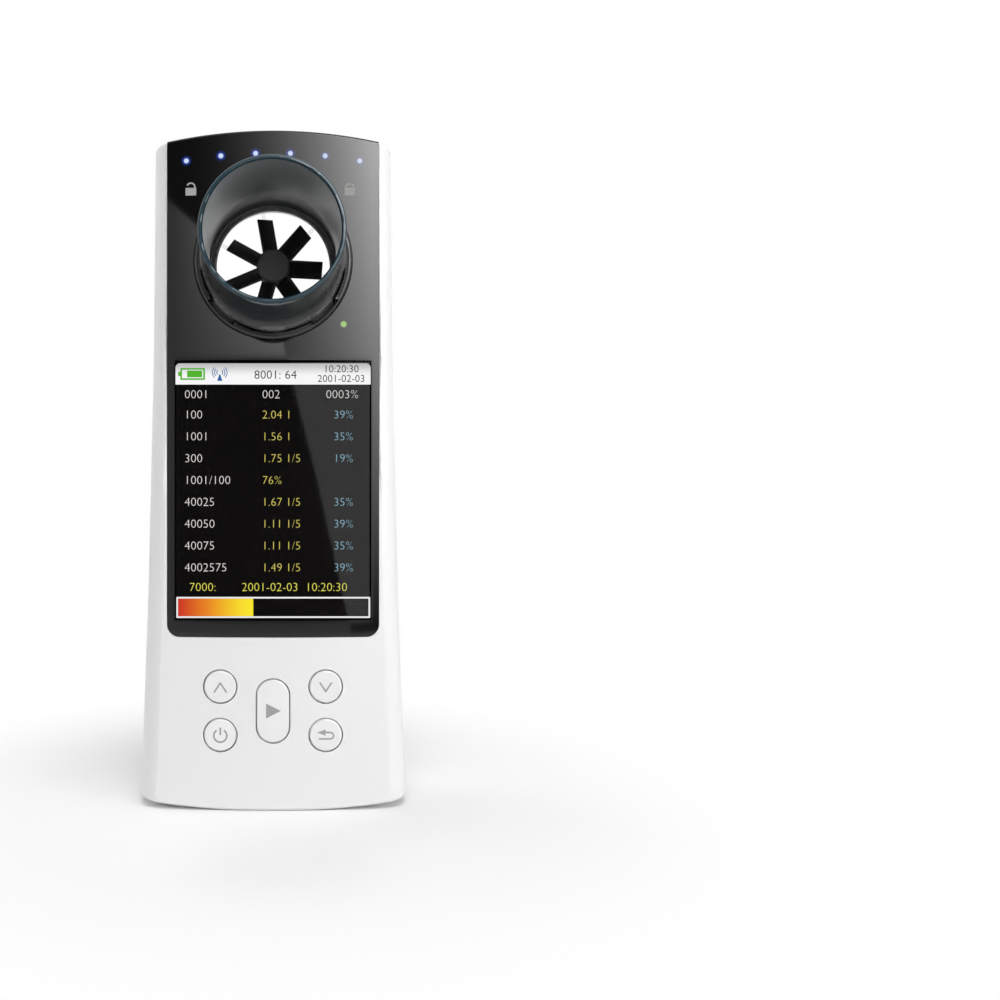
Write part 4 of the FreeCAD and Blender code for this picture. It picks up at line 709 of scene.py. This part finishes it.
class DressDisplay(bpy.types.Operator):
    """Lit display: status bar, table of figures and level bar"""
    bl_idname = "spirometer.display"
    bl_label = "Display"

    def execute(self, context):
        look = context.scene.display_look
        low, high = 48.1 * MM, 112.3 * MM
        dark = Finish("display_dark", (0.004, 0.003, 0.003), 0.05, Specular_IOR_Level=look.gloss)
        item = crown_normals(merged_copy("display_glass", "display_cell"))
        hand_over(item, "housing", dark.material, "screen_glass", "display_glass")
        ground = GLASS_LOW.y - PRINT_RISE
        ink = ground - PRINT_RISE / 2
        self.status_bar(high, ground, ink)
        self.table(look, ink)
        self.level_bar(low, ground, ink)
        return {"FINISHED"}

    def light_up(self, items, name, colour_name, colour):
        """Make one lit piece of prints that share a colour."""
        hand_over(join_all(items, name), "housing", glowing(colour_name, colour), "screen_glass")

    def status_bar(self, high, ground, ink):
        """White bar with a battery sign, a radio sign, a number, a time and a date."""
        half_wide, tall, corner = 24.62 * MM, 5.35 * MM, 1.1 * MM
        foot = high - tall
        middle = (foot + high) / 2
        bar = flat_patch("status_bar", -half_wide, half_wide, foot, high, ground, corner)
        finish = unlit("status_white")
        _, _, height = finish.place()
        shade = ((height - foot / MM) / (tall / MM)).ease(0.35, 1.05)
        finish.glow(finish.blend(shade, (0.93, 0.93, 0.94, 1), (0.5, 0.5, 0.51, 1)))
        hand_over(bar, "housing", finish.material, "screen_glass")

        left, wide, half_tall = -23.2 * MM, 5.8 * MM, 1.3 * MM
        case = stroke(outline(left, left + wide, middle - half_tall, middle + half_tall), ink, 0.42 * MM)
        tip = flat_patch("cell_tip", left - 0.75 * MM, left - 0.1 * MM,
                         middle - 0.55 * MM, middle + 0.55 * MM, ink)
        charge = flat_patch("cell_charge", left + 1.5 * MM, left + 5.3 * MM,
                            middle - 0.85 * MM, middle + 0.85 * MM, ink)
        self.light_up([case, tip, charge], "battery_sign", "sign_green", (0.09, 0.45, 0.03))

        across = -13.45 * MM
        foot_and_top = spots(across, middle, (-0.65, -1.75), (0.65, -1.75), (0.12, -0.1), (-0.12, -0.1))
        radio = [patch_from(foot_and_top, ink, "mast")]
        for radius in (0.75 * MM, 1.3 * MM, 1.85 * MM):
            for start in (-42, 138):
                wave = arc_points(across, middle + 0.35 * MM, radius, start, start + 84, 8)
                radio.append(stroke(wave, ink, 0.2 * MM))
        self.light_up(radio, "radio_sign", "sign_blue", (0.03, 0.12, 0.36))

        figures = [
            words("8001: 64", 0.6 * MM, middle - 0.3 * MM, 3.1 * MM, ink, "CENTER", 0.02 * MM),
            words("10:20:30", 17.2 * MM, middle + 1.2 * MM, 2.6 * MM, ink, "CENTER", 0.015 * MM),
            words("2001-02-03", 17.2 * MM, middle - 1.25 * MM, 2.6 * MM, ink, "CENTER", 0.015 * MM),
        ]
        self.light_up(figures, "status_figures", "ink_dark", (0.012, 0.01, 0.01))

    def table(self, look, depth):
        """Plain numbers in three columns, a headline above them and a time line below."""
        left, middle, right = -22.4 * MM, -2.8 * MM, 20.3 * MM
        size = look.text_size
        value_size = size * 0.97
        rows = (
            ("100", "2.04 1", "39%"), ("1001", "1.56 1", "35%"), ("300", "1.75 1/5", "19%"),
            ("1001/100", "76%", ""), ("40025", "1.67 1/5", "35%"), ("40050", "1.11 1/5", "39%"),
            ("40075", "1.11 1/5", "35%"), ("4002575", "1.49 1/5", "39%"),
        )
        labels, values, shares = [], [], []
        for number, (label, value, share) in enumerate(rows):
            height = look.first_row - look.row_pitch * number
            labels.append(words(label, left, height, size, depth))
            values.append(words(value, middle, height, value_size, depth))
            if share:
                shares.append(words(share, right, height, value_size, depth, "RIGHT"))
        height = look.first_row + look.row_pitch * 0.93
        labels.append(words("0001", left, height, size, depth))
        labels.append(words("002", middle, height, size, depth))
        labels.append(words("0003%", right + 1.3 * MM, height, size, depth, "RIGHT"))
        self.light_up(labels, "label_figures", "ink_label", look.label)
        self.light_up(values, "value_figures", "ink_value", look.value)
        self.light_up(shares, "share_figures", "ink_share", look.share)
        height = look.first_row - look.row_pitch * 7.9
        stamp = [words("7000:", left + 1.2 * MM, height, size, depth),
                 words("2001-02-03  10:20:30", 18.8 * MM, height, size, depth, "RIGHT")]
        self.light_up(stamp, "time_figures", "ink_stamp", look.stamp)

    def level_bar(self, low, ground, ink):
        """White frame with a red to yellow level in its left part."""
        left, right, level_end = -24.2 * MM, 24.3 * MM, -5.0 * MM
        foot, top = low + 0.15 * MM, low + 5.05 * MM
        line, inset = 0.42 * MM, 0.25 * MM
        border = stroke(outline(left, right, foot, top), ink, line)
        self.light_up([border], "level_frame", "bar_white", (0.85, 0.85, 0.85))
        level = flat_patch("level_fill", left + inset, level_end, foot + inset, top - inset, ground)
        finish = unlit("level_glow")
        across, _, _ = finish.place()
        start, length = left / MM, (level_end - left) / MM
        to_orange = across.ease(start - 1, start + length * 0.55)
        to_yellow = across.ease(start + length * 0.35, start + length)
        colour = finish.blend(to_orange, (0.6, 0.03, 0.02, 1), (0.85, 0.27, 0.02, 1))
        finish.glow(finish.blend(to_yellow, colour, (0.95, 0.78, 0.03, 1)))
        hand_over(level, "housing", finish.material, "screen_glass")


class DressTube(bpy.types.Operator):
    """Smoky mouth tube with its frosted inside, bright rim and a painted highlight on its flared foot"""
    bl_idname = "spirometer.tube"
    bl_label = "Mouth tube"

    def execute(self, context):
        look = context.scene.tube_look
        outside = Finish("tube_smoke", look.outside, 0.12, Specular_IOR_Level=0.5, Alpha=0.82)
        _, depth, _ = outside.place()
        crest = PANEL_CREST / MM
        # Painted highlight: the outer wall's colour grows lighter towards the flared foot, where the
        # flare would catch the light
        towards_foot_highlight = depth.ease(crest - 12, crest - 2)
        outside.feed("Base Color", outside.blend(towards_foot_highlight, solid(look.outside), solid(look.foot)))
        inside = Finish("tube_frost", look.inside, 0.34, Specular_IOR_Level=0.5)
        inside.grain(1800.0, 0.12)
        rim = Finish("tube_rim", look.rim, 0.3, Specular_IOR_Level=0.5)
        item = merged_copy("mouth_tube", "clear_tube")
        set_finishes(item, outside.material, inside.material, rim.material)
        rim_end = TUBE_LOW.y + 0.5 * MM

        def faces_axis(centre, normal):
            outwards = from_axis(centre)
            return normal.dot(outwards) < -0.2 * outwards.length

        paint_faces(item, 0, lambda centre, normal: True)
        paint_faces(item, 1, faces_axis)
        paint_faces(item, 2, lambda centre, normal: centre.y < rim_end)
        hand_over(item, "tube", None, "tube_clear", "mouth_tube")
        return {"FINISHED"}


class DressTurbine(bpy.types.Operator):
    """Ring, socket, insert, carrier and rotor"""
    bl_idname = "spirometer.turbine"
    bl_label = "Turbine"

    def execute(self, context):
        ring = Finish("ring_black", (0.03, 0.03, 0.031), 0.26, Specular_IOR_Level=0.5)
        pale = Finish("insert_pale", (0.42, 0.42, 0.43), 0.35)
        sleeve = Finish("sleeve_grey", (0.6, 0.6, 0.61), 0.45)
        blade = Finish("blade_black", (0.012, 0.012, 0.013), 0.42)
        hub = Finish("hub_grey", (0.04, 0.04, 0.042), 0.5)
        rubber = Finish("seal_rubber", (0.02, 0.02, 0.02), 0.6)
        clear = Finish("carrier_clear", (0.8, 0.81, 0.82), 0.2, Alpha=0.1)
        dressed = (
            ("bayonet_collar", "bayonet_ring", "housing", ring, "collar_grey"),
            ("turbine_socket", "socket_sleeve", "housing", sleeve, "socket_grey"),
            ("outlet_seal", "outlet_gasket", "housing", rubber, "soft_seal"),
            ("turbine_insert", "insert_ring", "cartridge", pale, "insert_grey"),
            ("rotor_carrier", "carrier_arms", "cartridge", clear, "insert_grey"),
            ("rotor", "rotor_blades", "turbine", blade, "rotor_dark"),
            ("hub_cap", "rotor_cap", "turbine", hub, "hub_grey"),
        )
        for node, name, body, finish, slot_name in dressed:
            item = merged_copy(node, name)
            hand_over(item, body, finish.material, slot_name, node)
        return {"FINISHED"}


class DressKeys(bpy.types.Operator):
    """Five keys with their printed signs"""
    bl_idname = "spirometer.keys"
    bl_label = "Keys"

    def execute(self, context):
        look = context.scene.key_look
        white = Finish("key_white", look.face, 0.3, Specular_IOR_Level=0.5)
        ink = Finish("key_ink", look.sign, 0.5)
        signs = {"up_key": self.up, "down_key": self.down, "power_key": self.power,
                 "return_key": self.back, "play_key": self.play}
        for node, draw in signs.items():
            body = node + "_body"
            item = merged_copy(node, node.replace("_key", "_button"))
            hand_over(item, body, white.material, "key_white", node)
            low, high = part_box(node)
            across, height = (low.x + high.x) / 2, (low.z + high.z) / 2
            sign = draw(across, height, low.y - PRINT_RISE, look.line)
            sign.name = node.replace("_key", "_sign")
            hand_over(sign, body, ink.material, "key_white")
        return {"FINISHED"}

    def up(self, x, z, depth, line):
        return stroke(spots(x, z, (-1.5, -1.35), (0, 0.95), (1.5, -1.35)), depth, line)

    def down(self, x, z, depth, line):
        return stroke(spots(x, z, (-1.45, 1.0), (0, -1.2), (1.45, 1.0)), depth, line)

    def power(self, x, z, depth, line):
        bow = stroke(arc_points(x, z - 0.15 * MM, 1.62 * MM, 128, 412, 28), depth, line)
        bar = stroke(spots(x, z, (0, 0.1), (0, 1.75)), depth - LAYER, line)
        return join_all([bow, bar], "power_sign")

    def back(self, x, z, depth, line):
        hook = spots(x, z, (-1.6, -0.95), (1.15, -0.95))
        hook += arc_points(x + 1.15 * MM, z - 0.15 * MM, 0.8 * MM, -90, 90, 12)
        hook += spots(x, z, (-0.4, 0.65))
        tail = stroke(hook, depth, line)
        corners = spots(x, z, (-2.15, 0.6), (-0.05, -0.15), (-0.05, 1.4))
        head = patch_from(corners, depth - PRINT_RISE / 4, "arrow_head")
        return join_all([tail, head], "return_sign")

    def play(self, x, z, depth, line):
        return patch_from(spots(x, z, (-1.75, -1.85), (1.95, 0.05), (-1.75, 1.9)), depth, "play_sign")


class SetStage(bpy.types.Operator):
    """Floor, soft light, reflector cards and camera"""
    bl_idname = "spirometer.stage"
    bl_label = "Stage"

    def execute(self, context):
        look = context.scene.studio_look
        self.floor()
        self.cards()
        self.room(context, look)
        self.lamps()
        self.camera(context, look)
        context.scene.view_settings.view_transform = "Standard"
        return {"FINISHED"}

    def floor(self):
        """A floor that keeps the shadow near the case and fades to plain white for the camera."""
        side, shadow_middle, fade_start, fade_end = 6, 5.0, 30.0, 125.0
        deselect()
        bpy.ops.mesh.primitive_plane_add(size=1)
        floor = bpy.context.object
        floor.name = "floor"
        floor.scale = (side, side, 1)
        settle(floor)
        finish = Finish("floor_pale", (0.93, 0.93, 0.93), 0.9, Specular_IOR_Level=0.0)
        across, depth, _ = finish.place()
        fade = distance_from(across, depth, (0.0, shadow_middle)).ease(fade_start, fade_end)
        white = finish.add("ShaderNodeEmission", None, {"Color": (1, 1, 1, 1), "Strength": 1.0})
        finish.cover(fade * finish.seen_by("Is Camera Ray", "Is Transmission Ray"), white)
        set_finishes(floor, finish.material)

    def card(self, name, corners, depth, glow):
        """An upright card behind the camera that only gloss sees; glow works out its light."""
        item = patch_from(corners, depth, name)
        only(item)
        bpy.ops.object.mode_set(mode="EDIT")
        bpy.ops.mesh.select_all(action="SELECT")
        bpy.ops.mesh.flip_normals()
        bpy.ops.object.mode_set(mode="OBJECT")
        finish = unlit(name + "_light")
        across, _, height = finish.place()
        light = glow(across, height)
        finish.glow(finish.blend(light / CARD_PEAK, (0, 0, 0, 1), (1, 1, 1, 1)), CARD_PEAK)
        set_finishes(item, finish.material)
        item.visible_camera = False
        item.visible_diffuse = False
        item.visible_shadow = False
        item.visible_transmission = False

    def over_display(self, across, height):
        """1 on the part of a card that the display window mirrors."""
        sides = across.ease(-106.0, -101.0) * across.ease(103.0, 98.0)
        return sides * height.ease(5.0, 9.0) * height.ease(152.0, 147.0)

    def growth(self, distance, start, length, most, exponent):
        """0 up to the start and 1 a length further, rising by a power up to a limit."""
        return ((distance - start) / length).most(0.0).least(most).power(exponent)

    def bright_glow(self, across, height):
        """Black on the left and at the foot, growing to the right and upwards."""
        sideways = self.growth(across, -110.0, 212.0, 1.0, 2.9)
        upwards = self.growth(height, 0.0, 265.0, 1.1, 1.35)
        display = self.over_display(across, height)
        brightest, on_display = 9.8, 1.5
        return sideways * upwards * brightest * (1.0 - display) + display * on_display

    def dim_glow(self, across, height):
        """Even and dim, a little brighter towards the turbine."""
        sideways = self.growth(across, -108.0, 113.0, 1.5, 1.3)
        upwards = self.growth(height, 0.0, 154.0, 1.5, 3.0)
        display = self.over_display(across, height)
        even, more, on_display = 0.6, 1.6, 0.1
        return (sideways * upwards * more + even) * (1.0 - display) + display * on_display

    def cards(self):
        """A bright card, and a dim one before it whose edge crosses the panel aslant."""
        depth, gap = -0.29, 0.002
        left, right, top = -0.4, 0.5, 0.6
        sheet = [(left, 0.0), (right, 0.0), (right, top), (left, top)]
        self.card("bright_card", sheet, depth, self.bright_glow)
        edge = [(left, 0.385), (-0.072, 0.218), (0.007, 0.16), (0.041, 0.089), (0.079, 0.0)]
        self.card("dim_card", [(left, 0.0)] + edge, depth + gap, self.dim_glow)

    def room(self, context, look):
        """White to the camera, in gloss and through clear pieces, and a dim even light otherwise."""
        world = bpy.data.worlds.new("studio")
        context.scene.world = world
        world.use_nodes = True
        nodes = Nodes(world.node_tree)
        back = nodes.tree.nodes["Background"]
        nodes.join((1, 1, 1, 1), back.inputs["Color"])
        seen = nodes.seen_by("Is Camera Ray", "Is Transmission Ray", "Is Glossy Ray")
        light = nodes.add("ShaderNodeMapRange", None,
                          {"Value": seen, "To Min": look.room, "To Max": 1.0})
        nodes.join(light.outputs[0], back.inputs["Strength"])

    def lamps(self):
        """Soft square lamps, each with its place, side, watts and the point that it faces."""
        for name, place, side, watts, aim in (
                ("front_light", (0.05, -0.55, 1.15), 0.6, 7.0, (0, 0, 0.03)),
                ("key_light", (0.85, -0.6, 0.36), 0.6, 4.7, (0, 0, 0.08)),
                ("left_light", (-0.85, 0.35, 0.5), 0.6, 2.5, (0, 0, 0.08)),
                ("top_light", (-0.02, 0.06, 0.95), 0.12, 1.0, (0, 0, 0))):
            deselect()
            bpy.ops.object.light_add(type="AREA", location=place)
            lamp = bpy.context.object
            lamp.name = name
            lamp.data.size = side
            lamp.data.energy = watts
            lamp.rotation_euler = (Vector(aim) - Vector(place)).to_track_quat("-Z", "Y").to_euler()
            lamp.visible_glossy = False

    def camera(self, context, look):
        """The photograph's place and framing, looking straight back."""
        bpy.ops.object.camera_add(
            location=(look.camera_across, PANEL_CREST - look.camera_distance, look.camera_height),
            rotation=(math.radians(90), 0, 0))
        camera = context.object
        camera.data.lens = look.lens
        camera.data.sensor_width = 36
        camera.data.shift_x = 0.22
        camera.data.shift_y = -0.017
        camera.data.clip_start = 0.01
        context.scene.camera = camera


STEPS = (DressCase, DressPanel, DressDisplay, DressTube, DressTurbine, DressKeys, SetStage)


class SpirometerPanel(bpy.types.Panel):
    """Lists the steps and their settings"""
    bl_idname = "VIEW3D_PT_spirometer"
    bl_label = "Spirometer"
    bl_space_type = "VIEW_3D"
    bl_region_type = "UI"
    bl_category = "Spirometer"

    def draw(self, context):
        for step in STEPS:
            self.layout.operator(step.bl_idname)
        for name, group in SETTINGS.items():
            box = self.layout.box()
            for key in group.__annotations__:
                box.prop(getattr(context.scene, name), key)


def register():
    for group in SETTINGS.values():
        bpy.utils.register_class(group)
    for name, group in SETTINGS.items():
        setattr(bpy.types.Scene, name, bpy.props.PointerProperty(type=group))
    for step in STEPS:
        bpy.utils.register_class(step)
    bpy.utils.register_class(SpirometerPanel)


def unregister():
    bpy.utils.unregister_class(SpirometerPanel)
    for step in reversed(STEPS):
        bpy.utils.unregister_class(step)
    for name in SETTINGS:
        delattr(bpy.types.Scene, name)
    for group in SETTINGS.values():
        bpy.utils.unregister_class(group)


def main():
    register()
    bpy.ops.spirometer.case()
    bpy.ops.spirometer.panel()
    bpy.ops.spirometer.display()
    bpy.ops.spirometer.tube()
    bpy.ops.spirometer.turbine()
    bpy.ops.spirometer.keys()
    bpy.ops.spirometer.stage()


if __name__ == "__main__":
    main()
